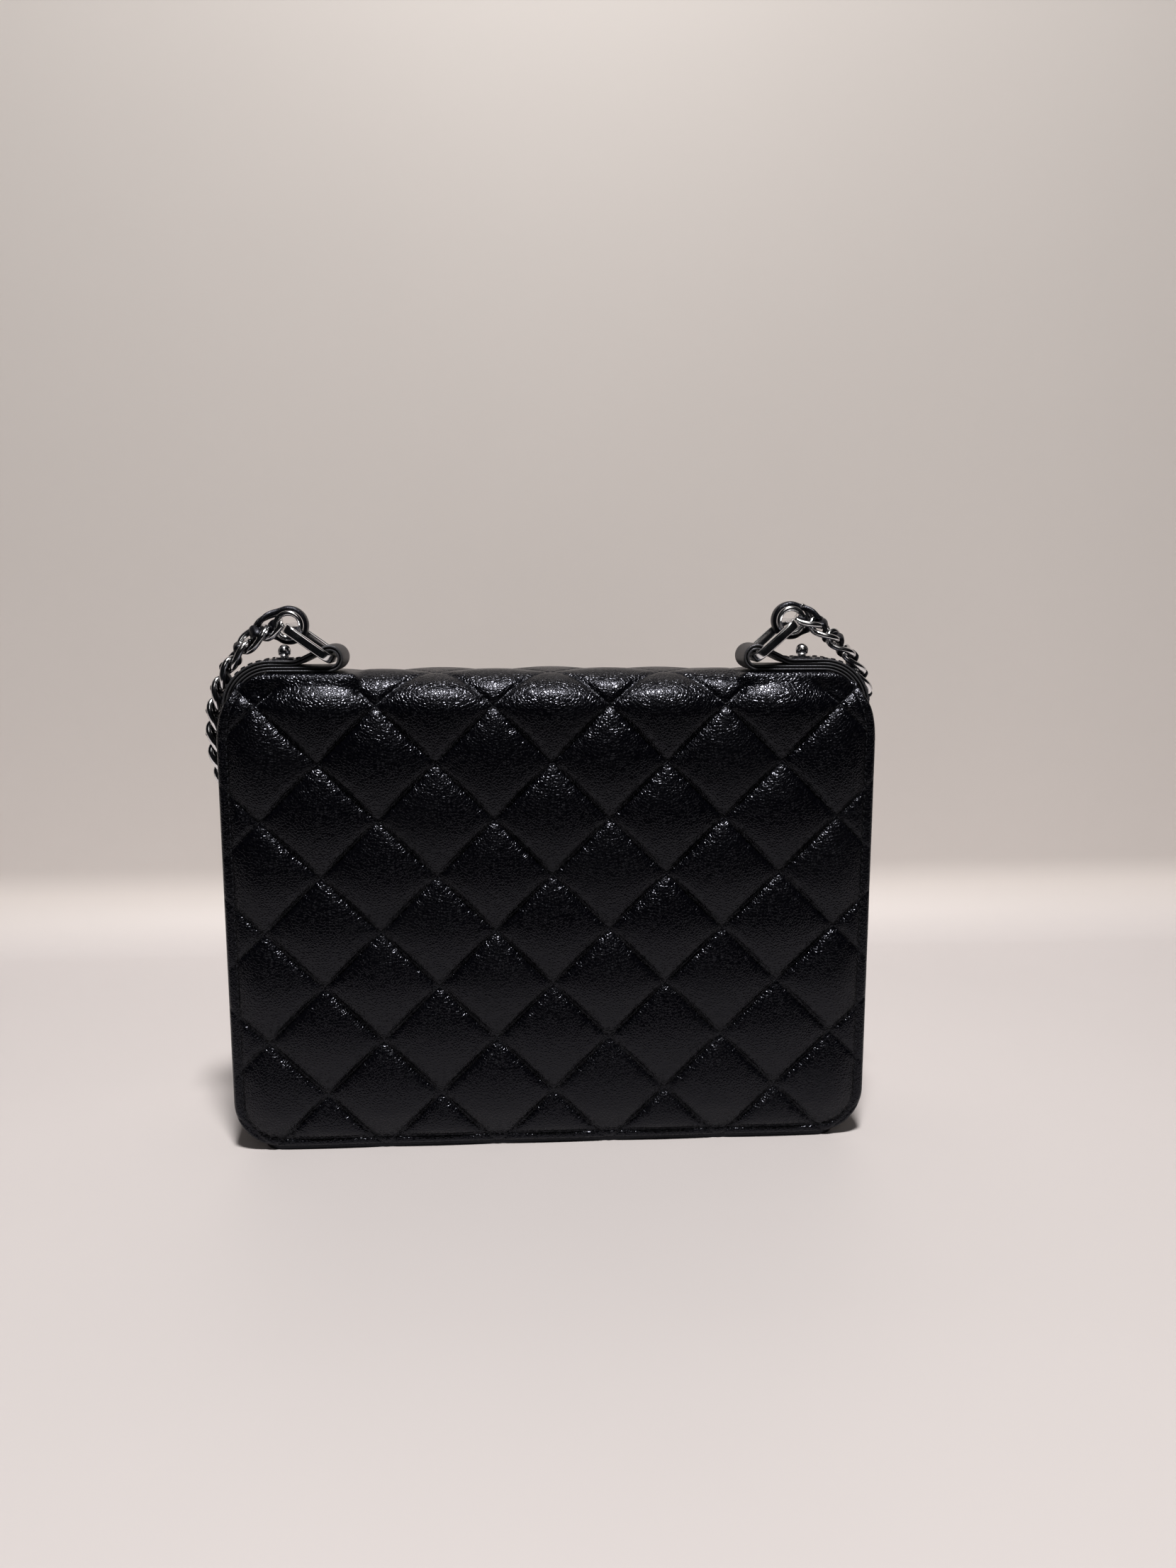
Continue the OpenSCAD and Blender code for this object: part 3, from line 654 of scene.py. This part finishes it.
quilted_skin = build_skin()
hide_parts("back_panel", "back_foam", "back_board", "flap_panel", "flap_foam", "flap_board")
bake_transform(quilted_skin)
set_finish(quilted_skin, "quilted_leather")

# %% [markdown]
# The stitches are short threads that sink into the seams. One small capsule is copied along every seam and
# along the edge, lying in the direction of its seam.

# %% Stitches
def capsule(long, radius, sides=6):
    """Rings of a short thread lying along its first axis, with both ends pinched shut."""
    s = np.array([-0.5, -0.42, 0.0, 0.42, 0.5]) * long
    r = np.array([0.15, 0.75, 1.0, 0.75, 0.15]) * radius
    a = np.linspace(0, 2 * math.pi, sides, endpoint=False)
    return np.stack(np.broadcast_arrays(s[:, None], r[:, None] * np.cos(a), r[:, None] * np.sin(a)), -1)


def sew(name, middles, ahead, out, long=1.55 * MM, radius=0.27 * MM):
    """Capsules centred on middles, lying along ahead, with their backs towards out."""
    thread = capsule(long, radius)
    side = unit(np.cross(out, ahead))
    axes = np.stack([unit(ahead), side, np.cross(unit(ahead), side)], 1)
    points = middles[:, None, None] + np.einsum("rck,nkj->nrcj", thread, axes)
    rings, sides = thread.shape[:2]
    body = grid_faces(rings, sides, False, True)
    caps = [np.arange(sides)[None], (np.arange(sides) + (rings - 1) * sides)[None]]
    copies = np.arange(len(middles))[:, None, None] * rings * sides
    faces = [(body[None] + copies).reshape(-1, 4)]
    faces += [(cap[None] + copies).reshape(-1, sides) for cap in caps]
    return make_piece(name, points, faces)


def seam_stitches():
    """Places and directions of every stitch of the net and of the edge seam, as (x, v, dx, dv) rows."""
    whole = np.arange(-9, 10)
    step = (np.arange(-9 * STITCHES_PER_SIDE, 9 * STITCHES_PER_SIDE) + 0.5) / STITCHES_PER_SIDE
    lines, steps = np.meshgrid(whole, step)
    lines, steps = lines.ravel(), steps.ravel()
    found = []
    for turn in (1, -1):
        a, b = (lines, steps) if turn == 1 else (steps, lines)
        x = NET_X + (a + b) / 2 * DIAMOND_WIDE
        v = NET_V + (a - b) / 2 * DIAMOND_TALL
        ok = (v > EDGE_SEAM) & (v < V_END - EDGE_SEAM)
        ok &= np.abs(x) < half_width(np.clip(v, 0, V_END)) - 0.6 * MM
        ok[ok] &= edge_distance(x[ok], v[ok]) > 0.7 * MM
        heading = np.tile([DIAMOND_WIDE, -turn * DIAMOND_TALL], (ok.sum(), 1))
        found.append(np.column_stack([x[ok], v[ok], heading]))
    loop = perimeter()
    walked = distance_along(loop)
    s = np.arange(0, walked[-1], EDGE_PITCH)
    at, ahead = (np.stack([np.interp(s + step, walked, loop[:, k]) for k in (0, 1)], -1)
                 for step in (0, 0.2 * MM))
    found.append(np.column_stack([at, ahead - at]))
    return np.vstack(found)


stitch = seam_stitches()
stitch = stitch[tab_press(stitch[:, 0], stitch[:, 1]) < 0.2]
sx, sv, heading = stitch[:, 0], stitch[:, 1], unit(stitch[:, 2:]) * 0.6 * MM
before, after = (on_skin(sx + way * heading[:, 0], np.clip(sv + way * heading[:, 1], 0, V_END), 0.08 * MM)
                 for way in (-1, 1))
_, _, out_y, out_z = section(sv)
outwards = np.stack([np.zeros_like(sx), out_y, out_z], -1)
skin_stitches = sew("skin_stitches", (before + after) / 2, after - before, outwards)
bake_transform(skin_stitches)
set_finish(skin_stitches, "quilted_leather")
print(len(stitch), "stitches")

# %% [markdown]
# ## The lining of the back and the flap
# A thinner, smoother skin covers the inside. It follows the same section at a greater depth.

# %% Lining
def build_lining():
    """A thin closed sheet at the lining's depth, from the bottom of the back to the foot of the flap."""
    v = np.linspace(2.4 * MM, V_END - 0.6 * MM, 260)[:, None]
    wide = half_width(v) - 0.6 * MM
    y, z, ny, nz = section(v)
    across = np.linspace(-1, 1, 61)[None]
    soft = 0.12 * MM * np.sin(across * 9 + v / (13 * MM)) * (1 - across**2)
    sides = []
    for depth, order in ((3.8 * MM, 1), (4.35 * MM, -1)):
        deep = (depth + soft * (order < 0))[:, ::order]
        x = across[:, ::order] * wide
        sides.append(np.stack(np.broadcast_arrays(x, y - ny * deep, z - nz * deep), -1))
    return closed_stack("inner_lining", np.concatenate(sides, 1))


inner_lining = build_lining()
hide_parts("back_lining", "flap_lining")
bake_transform(inner_lining)
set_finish(inner_lining, "lining_leather")

# %% [markdown]
# ## The leather tabs
# Each tab is a strap of stacked plies. It comes up round the bag's side, lies along the top, goes through the
# ring and returns on itself, so its four plies show as four fine lines. Two closed lines of leather, one
# inside the other, make the four: each is a line in the x-z plane, swept across the tab's width.

# %% Tab plies
LEAF_Z = 142.4 * MM
PLY = 0.9 * MM
OUTER_LOOP, INNER_LOOP = 3.55 * MM, 2.65 * MM
CORNER = np.array([80 * MM, 132 * MM])


def ply_line(radius, side):
    """From the bag's side up round its corner, along the top, round the ring's bar, down a slope and back."""
    inner_end = min(abs(corner[0]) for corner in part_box(f"tab_{side}"))
    centre = np.array([inner_end + 4 * MM, 146.4 * MM])
    below, above = centre[1] - radius, LEAF_Z + 4 * PLY - (centre[1] - radius - LEAF_Z)
    slope = math.radians(26)
    r_low, r_high = below - CORNER[1], above - CORNER[1]
    turn = np.radians(np.linspace(0, 90, 30))
    quarter = np.stack([np.cos(turn), np.sin(turn)], -1)
    root_low, root_high = CORNER + r_low * quarter, CORNER + r_high * quarter
    foot = corners("tab_root_right")[0][2]
    arc = np.linspace(-math.pi / 2, -3 * math.pi / 2 - slope, 40)
    loop = centre + radius * np.stack([np.cos(arc), np.sin(arc)], -1)
    downhill = np.array([math.cos(slope), -math.sin(slope)])
    landing = loop[-1] + downhill * (loop[-1][1] - above) / math.sin(slope)
    start, end = [CORNER[0] + r_low, foot], [CORNER[0] + r_high, foot]
    return np.vstack([start, root_low, loop, landing, root_high[::-1], end])


def even_line(points, step, soften=3):
    """The line walked in even steps, with its kinks rounded by averaging neighbours."""
    walked = distance_along(points)
    s = np.linspace(0, walked[-1], int(walked[-1] / step) + 1)
    line = np.stack([np.interp(s, walked, points[:, k]) for k in range(2)], -1)
    for _ in range(soften):
        line[1:-1] = (line[:-2] + line[1:-1] * 2 + line[2:]) / 4
    return line


def build_tab(side):
    """Both closed lines of one tab, as straps with rounded edges, each with a slight wave of its own."""
    plies = []
    for number, radius in enumerate((OUTER_LOOP, INNER_LOOP)):
        line = even_line(ply_line(radius, side), 0.7 * MM)
        wave = 0.12 * MM * np.sin(line[:, 0] / (6 * MM) + 2 * number)
        centre = in_plane(line, TAB_Y + wave, SIDES[side])
        across = np.tile([0.0, 1.0, 0.0], (len(line), 1))
        out = unit(np.cross(across, np.gradient(centre, axis=0)))
        wide = (tab_high[1] - tab_low[1]) / 2 - number * 0.15 * MM
        plies.append(strip(f"tab_ply_{side}_{number}", centre, across, out, wide, 0.43 * MM, power=0.35,
                           sides=20, cut_edge=True))
    outer = plies[0]
    with bpy.context.temp_override(active_object=outer, selected_editable_objects=plies, object=outer):
        bpy.ops.object.join()
    outer.name = f"tab_strap_{side}"
    return outer


for side in SIDES:
    strap = build_tab(side)
    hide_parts(f"tab_root_{side}", f"tab_{side}")
    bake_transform(strap)
    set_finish(strap, "plain_leather")

# %% [markdown]
# Each tab is sewn along both edges of its upper face, and the front wall round its sides and mouth.

# %% Stitches of the tabs and the front wall
def tab_stitches(side):
    """Two rows of short threads on the tab's outer ply, from where it lands to the foot of its root."""
    sign = SIDES[side]
    line = even_line(ply_line(OUTER_LOOP, side), EDGE_PITCH, 0)
    middle = np.argmax(line[:, 1])
    line = line[middle + 4:]
    ahead = unit(np.gradient(line, axis=0))
    out = np.stack([-ahead[:, 1], ahead[:, 0]], -1)
    line = line + out * 0.5 * MM
    rows = np.vstack([in_plane(line, TAB_Y + edge * MM, sign) for edge in (-6.2, 6.2)])
    along, lift = (np.vstack([in_plane(way, 0.0, sign)] * 2) for way in (ahead, out))
    threads = sew(f"tab_stitches_{side}", rows, along, lift)
    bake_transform(threads)
    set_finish(threads, "plain_leather")


for side in SIDES:
    tab_stitches(side)


def front_stitches():
    """One row of threads round the front wall's sides and mouth, three millimetres inside its edge."""
    half, low, high = front_high[0] - 3 * MM, front_low[2] + 4 * MM, front_high[2] - 3 * MM
    corner = 5 * MM
    turn = np.radians(np.linspace(0, 90, 12))
    arc = np.stack([half - corner + corner * np.cos(turn), high - corner + corner * np.sin(turn)], -1)
    right = np.vstack([[half, low], arc])
    path = even_line(np.vstack([right, right[::-1] * [-1, 1]]), EDGE_PITCH, 0)
    middles, along = in_plane(path, front_high[1] + 0.05 * MM), in_plane(np.gradient(path, axis=0), 0.0)
    threads = sew("front_stitches", middles, along, np.tile([0.0, 1.0, 0.0], (len(path), 1)))
    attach(threads, "root")
    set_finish(threads, "plain_leather")


front_stitches()

# %% [markdown]
# Through each tab's loop goes a flat ring: a rounded rectangle of square bar with softened edges. It hangs on
# its own hinge, so it rides on the ring's body.

# %% Rings
RING_LONG, RING_WIDE, RING_CORNER = 7.25 * MM, 8.9 * MM, 2.4 * MM
BAR_WIDE, BAR_THICK = 1.0 * MM, 1.35 * MM


def build_ring(side):
    """A square bar swept round a rounded rectangle that slopes up from the tab's loop to the end link."""
    joint = next(j for j in frame["joints"] if j["name"] == f"ring_{side}_swing")
    pivot = np.array(joint["pos_m"])
    link = sum(corners(f"end_link_{side}")) / 2
    up = unit((link - pivot) * [1, 0, 1])
    turn = np.radians(np.linspace(0, 90, 9))
    arc = RING_CORNER * np.stack([np.cos(turn), np.sin(turn)], -1)
    arc = arc + [RING_LONG - RING_CORNER, RING_WIDE - RING_CORNER]
    outline = np.vstack([arc, arc[::-1] * [-1, 1], arc * [-1, -1], arc[::-1] * [1, -1]])
    centre = pivot + up * RING_LONG + outline[:, :1] * up + outline[:, 1:] * np.array([0, 1, 0])
    ahead = unit(np.roll(centre, -1, 0) - np.roll(centre, 1, 0))
    out = np.tile(np.cross(up, [0, 1, 0]), (len(centre), 1))
    ring = strip(f"ring_{side}_bar", centre, np.cross(ahead, out), out, BAR_WIDE, BAR_THICK, power=0.42,
                 sides=24, closed=True)
    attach(ring, f"ring_{side}")
    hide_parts(f"strap_ring_{side}")
    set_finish(ring, "polished_metal")


for side in SIDES:
    build_ring(side)

# %% [markdown]
# ## Folding sides
# Each side of the bag is a thin leather gusset with a deep pleat, so that the bag can open a little.

# %% Gussets
def build_gusset(side):
    """A pleated sheet: a smooth zigzag in plan, carried up the side, with a slight wave in its walls."""
    plan = np.array([(88, -20.4), (78.4, -11.5), (86.6, -2), (78.4, 7.5), (88, 16.6)]) * MM
    line = even_line(through(plan, 14), 0.55 * MM, 4)
    z = np.linspace(gusset_low[2], gusset_high[2], 60)[:, None]
    up = (z - z[0]) / (z[-1] - z[0])
    wave = 0.35 * MM * np.sin(up * 11 + line[None, :, 1] / (4 * MM)) * np.sin(math.pi * np.clip(up, 0, 1))
    tangent = unit(np.gradient(line, axis=0))
    normal = np.stack([tangent[:, 1], -tangent[:, 0]], -1)
    walls = []
    for depth, order in ((0.45 * MM, 1), (-0.45 * MM, -1)):
        x = (line[:, 0] + normal[:, 0] * depth)[None] + wave
        y = (line[:, 1] + normal[:, 1] * depth)[None] + 0 * wave
        walls.append(np.stack(np.broadcast_arrays(SIDES[side] * x, y, z), -1)[:, ::order])
    gusset = closed_stack(f"pleated_side_{side}", np.concatenate(walls, 1))
    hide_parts(f"gusset_{side}")
    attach(gusset, "root")
    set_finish(gusset, "plain_leather")


for side in SIDES:
    build_gusset(side)

# %% [markdown]
# ## Materials
# A finish that is used more than once is a node group. A group only hands out varying values, such as a
# height or a mask; the shader itself stays in the material, where its plain numbers can be found and changed.

# %% Node helpers
def new_group(name, inputs, outputs):
    """An empty shader node group with its sockets."""
    group = bpy.data.node_groups.new(name, "ShaderNodeTree")
    for label, kind, value in inputs:
        socket = group.interface.new_socket(label, in_out="INPUT", socket_type=kind)
        if value is not None:
            socket.default_value = value
    for label, kind in outputs:
        group.interface.new_socket(label, in_out="OUTPUT", socket_type=kind)
    return group, group.nodes.new("NodeGroupInput"), group.nodes.new("NodeGroupOutput")


def add(tree, kind, **settings):
    """A node with its settings; a setting that is a socket is linked, one that is a value is written in."""
    node = tree.nodes.new(kind)
    for key, value in settings.items():
        if key.startswith("in_"):
            name = key[3:]
            socket = node.inputs[int(name)] if name.isdigit() else node.inputs[name.replace("_", " ")]
            if isinstance(value, bpy.types.NodeSocket):
                tree.links.new(value, socket)
            else:
                socket.default_value = value
        else:
            setattr(node, key, value)
    return node


# %% [markdown]
# Leather grain is a crowd of small soft pebbles with fine valleys between them. A Voronoi texture gives the
# valleys, noise bends its coordinates so that no pebble is regular, and a finer layer adds pores.

# %% Leather grain group
def leather_grain():
    """Height of pebbles and pores, and a slow mask of handling wear, both in object coordinates."""
    inputs = [("Vector", "NodeSocketVector", None), ("Pebbles per metre", "NodeSocketFloat", 1150.0)]
    outputs = [("Height", "NodeSocketFloat"), ("Wear", "NodeSocketFloat")]
    g, start, end = new_group("leather grain", inputs, outputs)
    bend = add(g, "ShaderNodeTexNoise", in_Vector=start.outputs[0], in_Scale=420.0, in_Detail=2.0)
    push = add(g, "ShaderNodeVectorMath", operation="SCALE", in_0=bend.outputs["Color"], in_Scale=0.0011)
    warped = add(g, "ShaderNodeVectorMath", operation="ADD", in_0=start.outputs[0], in_1=push.outputs[0])
    cells = add(g, "ShaderNodeTexVoronoi", feature="DISTANCE_TO_EDGE", in_Vector=warped.outputs[0],
                in_Scale=start.outputs[1])
    valley = add(g, "ShaderNodeMapRange", interpolation_type="SMOOTHSTEP", in_0=cells.outputs["Distance"],
                 in_1=0.0, in_2=0.28, in_3=0.0, in_4=1.0)
    fine_rate = add(g, "ShaderNodeMath", operation="MULTIPLY", in_0=start.outputs[1], in_1=2.7)
    pores = add(g, "ShaderNodeTexNoise", in_Vector=warped.outputs[0], in_Scale=fine_rate.outputs[0],
                in_Detail=3.0)
    fine = add(g, "ShaderNodeMath", operation="MULTIPLY_ADD", in_0=pores.outputs[0], in_1=0.35,
               in_2=valley.outputs[0])
    slow = add(g, "ShaderNodeTexNoise", in_Vector=start.outputs[0], in_Scale=38.0, in_Detail=4.0)
    wear = add(g, "ShaderNodeMapRange", in_0=slow.outputs[0], in_1=0.35, in_2=0.68, in_3=0.0, in_4=1.0)
    g.links.new(fine.outputs[0], end.inputs[0])
    g.links.new(wear.outputs[0], end.inputs[1])
    return g


GRAIN = leather_grain()


def new_material(name):
    """A material, its node tree, its shader and a node that hands out coordinates."""
    material = bpy.data.materials.new(name)
    material.use_nodes = True
    tree = material.node_tree
    return material, tree, tree.nodes["Principled BSDF"], add(tree, "ShaderNodeTexCoord")


def emboss(tree, shader, height, strength, distance):
    """Let a varying height bend the shader's normal, as a shallow relief would."""
    relief = add(tree, "ShaderNodeBump", in_Strength=strength, in_Distance=distance, in_Height=height)
    tree.links.new(relief.outputs[0], shader.inputs["Normal"])


def leather(name, colour, rough_low, rough_high, pebbles, bump, edge_colour=None):
    """A leather: grain for bump, wear for its gloss, and a lighter cut edge where the piece marks one."""
    m, t, shader, place = new_material(name)
    grain = add(t, "ShaderNodeGroup", node_tree=GRAIN, in_0=place.outputs["Object"], in_1=pebbles)
    gloss = add(t, "ShaderNodeMapRange", in_0=grain.outputs[1], in_3=rough_low, in_4=rough_high)
    t.links.new(gloss.outputs[0], shader.inputs["Roughness"])
    emboss(t, shader, grain.outputs[0], bump, 0.18 * MM)
    shader.inputs["Base Color"].default_value = (*colour, 1)
    shader.inputs["Specular IOR Level"].default_value = 0.5
    shader.inputs["Specular Tint"].default_value = (0.86, 0.88, 1, 1)
    if edge_colour:
        mark = add(t, "ShaderNodeAttribute", attribute_name="cut_edge")
        mix = add(t, "ShaderNodeMix", data_type="RGBA", in_0=mark.outputs["Fac"])
        mix.inputs["A"].default_value = (*colour, 1)
        mix.inputs["B"].default_value = (*edge_colour, 1)
        t.links.new(mix.outputs["Result"], shader.inputs["Base Color"])
    return m


def metal(name, colour, rough_low, rough_high, bump=0.0):
    """A metal whose gloss changes slowly with handling, with a faint unevenness from polishing."""
    m, t, shader, place = new_material(name)
    shader.inputs["Metallic"].default_value = 1
    shader.inputs["Base Color"].default_value = (*colour, 1)
    smear = add(t, "ShaderNodeTexNoise", in_Vector=place.outputs["Object"], in_Scale=260.0, in_Detail=4.0)
    gloss = add(t, "ShaderNodeMapRange", in_0=smear.outputs[0], in_1=0.3, in_2=0.7, in_3=rough_low,
                in_4=rough_high)
    t.links.new(gloss.outputs[0], shader.inputs["Roughness"])
    if bump:
        dents = add(t, "ShaderNodeTexNoise", in_Vector=place.outputs["Object"], in_Scale=900.0, in_Detail=2.0)
        emboss(t, shader, dents.outputs[0], bump, 0.1 * MM)
    return m


def woven(name, colour, threads):
    """A tape: two crossed waves make the over and under of its threads."""
    m, t, shader, place = new_material(name)
    split = add(t, "ShaderNodeSeparateXYZ", in_0=place.outputs["Object"])
    waves = []
    for axis in (0, 1):
        turn = add(t, "ShaderNodeMath", operation="MULTIPLY", in_0=split.outputs[axis],
                   in_1=threads * 2 * math.pi)
        waves.append(add(t, "ShaderNodeMath", operation="SINE", in_0=turn.outputs[0]).outputs[0])
    weave = add(t, "ShaderNodeMath", operation="MULTIPLY", in_0=waves[0], in_1=waves[1])
    emboss(t, shader, weave.outputs[0], 0.6, 0.2 * MM)
    tone = add(t, "ShaderNodeMix", data_type="RGBA", in_0=weave.outputs[0])
    tone.inputs["A"].default_value = (*colour, 1)
    tone.inputs["B"].default_value = (*(c * 1.8 for c in colour), 1)
    t.links.new(tone.outputs["Result"], shader.inputs["Base Color"])
    shader.inputs["Roughness"].default_value = 0.85
    return m


BLACK = (0.0016, 0.0016, 0.0032)
quilted_leather = leather("quilted lambskin", BLACK, 0.22, 0.3, 1120.0, 0.48)
plain_leather = leather("plain lambskin", BLACK, 0.3, 0.42, 1500.0, 0.25, edge_colour=(0.07, 0.07, 0.075))
lining_leather = leather("lining leather", (0.008, 0.0075, 0.008), 0.45, 0.6, 1900.0, 0.12)
thread = leather("thread", (0.004, 0.004, 0.005), 0.5, 0.65, 4200.0, 0.4)
foam = leather("foam", (0.06, 0.06, 0.065), 0.9, 1.0, 2600.0, 0.5)
board = leather("board", (0.09, 0.08, 0.065), 0.8, 0.95, 3000.0, 0.2)
polished_metal = metal("polished metal", (0.8, 0.8, 0.81), 0.13, 0.24)
zip_metal = metal("zip metal", (0.6, 0.6, 0.62), 0.22, 0.36, 0.1)
tape = woven("woven tape", (0.006, 0.006, 0.007), 1400.0)
print("materials made:", len(bpy.data.materials))

# %% [markdown]
# Every part gets the finish of its slot, and the new pieces get theirs by name.

# %% Give each part its finish
FINISH = {"quilted_leather": quilted_leather, "plain_leather": plain_leather,
          "lining_leather": lining_leather, "foam": foam, "board": board, "polished_metal": polished_metal,
          "zip_metal": zip_metal, "tape": tape, "laced_chain": plain_leather}
SEWN = ("skin_stitches", "front_stitches", "tab_stitches_left", "tab_stitches_right")
SLOT_OF = {part["node"]: part["material_slot"] for part in frame["record"]["subparts"]}
for piece in [o for o in bpy.data.objects if o.type == "MESH"]:
    if piece.name in SEWN:
        finish = thread
    else:
        finish = FINISH[piece.get("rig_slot") or SLOT_OF[piece.name]]
    piece.data.materials.clear()
    piece.data.materials.append(finish)

# %% [markdown]
# ## The room
# A pale sweep with painted shade by height, and soft overhead light. The floor turns up close behind the bag,
# so its horizon is soft.
# Seen from behind, the sweep lets light and sight through, so that the bag can be looked at from every side.

# %% Sweep and lights
SWEEP_NEAR, SWEEP_HALF, WALL_TOP = -0.2, 1.8, 0.5


def build_sweep():
    """A floor that turns up into a wall: z = 0, then a quarter circle, then straight up. Its near edge is
    close and the wall low, so that the skin mirrors paper only where it faces well down or straight up."""
    turn = np.linspace(0, math.pi / 2, 24)
    far, radius = 0.17, 0.035
    y = np.concatenate([[SWEEP_NEAR], far + radius * np.sin(turn), [far + radius]])
    z = np.concatenate([[0], radius * (1 - np.cos(turn)), [WALL_TOP]])
    x = np.linspace(-SWEEP_HALF, SWEEP_HALF, 3)
    points = np.stack(np.broadcast_arrays(x[:, None], y[None], z[None]), -1)
    sweep = make_piece("sweep", points, grid_faces(3, len(y)), closed=False)
    sweep.data.flip_normals()
    return sweep


def paper():
    """Paper with a faint unevenness and painted shade by height: greyer on the floor, palest low on the wall,
    darker again above, where the overhead lamp lights floor and wall most.
    """
    m, t, shader, place = new_material("paper")
    blot = add(t, "ShaderNodeTexNoise", in_Vector=place.outputs["Object"], in_Scale=6.0, in_Detail=5.0)
    # Painted shade: the floor and the top of the wall are darkened where the overhead lamp lights them most.
    level = add(t, "ShaderNodeSeparateXYZ", in_0=place.outputs["Object"])
    height = add(t, "ShaderNodeMapRange", in_0=level.outputs[2], in_1=0.0, in_2=WALL_TOP)
    painted_shade = add(t, "ShaderNodeValToRGB", in_0=height.outputs[0])
    painted_shade.color_ramp.elements[0].color = (0.53, 0.505, 0.505, 1)
    painted_shade.color_ramp.elements[1].color = (0.5, 0.475, 0.46, 1)
    painted_shade.color_ramp.elements.new(0.045).color = (0.7, 0.66, 0.64, 1)
    tone = add(t, "ShaderNodeMix", data_type="RGBA", blend_type="MULTIPLY", in_0=blot.outputs[0])
    t.links.new(painted_shade.outputs[0], tone.inputs["A"])
    tone.inputs["B"].default_value = (0.95, 0.95, 0.95, 1)
    t.links.new(tone.outputs["Result"], shader.inputs["Base Color"])
    shader.inputs["Roughness"].default_value = 0.55
    clear = add(t, "ShaderNodeBsdfTransparent")
    side = add(t, "ShaderNodeNewGeometry")
    one_sided = add(t, "ShaderNodeMixShader", in_0=side.outputs["Backfacing"], in_1=shader.outputs[0],
                    in_2=clear.outputs[0])
    t.links.new(one_sided.outputs[0], t.nodes["Material Output"].inputs["Surface"])
    return m


def lamp(name, place, target, size, power, colour=(1, 1, 1)):
    """A square soft light that looks at its target."""
    light = bpy.data.lights.new(name, "AREA")
    light.shape, light.size, light.energy, light.color = "SQUARE", size, power, colour
    o = bpy.data.objects.new(name, light)
    o.location = place
    away = np.array(target, float) - np.array(place, float)
    tilt, heading = math.atan2(math.hypot(away[0], away[1]), -away[2]), math.atan2(-away[0], away[1])
    o.rotation_euler = (tilt, 0, heading)
    bpy.context.scene.collection.objects.link(o)


sweep = build_sweep()
sweep.data.materials.append(paper())
lamp("overhead", (0.02, -0.42, 1.25), (0, -0.1, 0.0), 0.17, 24.5, (1, 0.975, 0.95))
lamp("window", (-0.3, 0.75, 0.85), (0, 0.05, 0.1), 0.3, 3.0, (0.78, 0.87, 1))
lamp("front_glow", (0.1, -1.0, 0.72), (0, 0.0, 0.08), 0.35, 0.6, (1, 0.97, 0.94))
world = bpy.data.worlds.new("room")
world.use_nodes = True
sky = world.node_tree
seen = add(sky, "ShaderNodeLightPath")
tone = add(sky, "ShaderNodeMix", data_type="RGBA", in_0=seen.outputs["Is Camera Ray"])
tone.inputs["A"].default_value = (0.006, 0.0065, 0.008, 1)
tone.inputs["B"].default_value = (0.5, 0.47, 0.44, 1)
sky.links.new(tone.outputs["Result"], sky.nodes["Background"].inputs["Color"])
bpy.context.scene.world = world
bpy.context.scene.view_settings.view_transform = "Standard"
bpy.context.scene.view_settings.gamma = 0.8
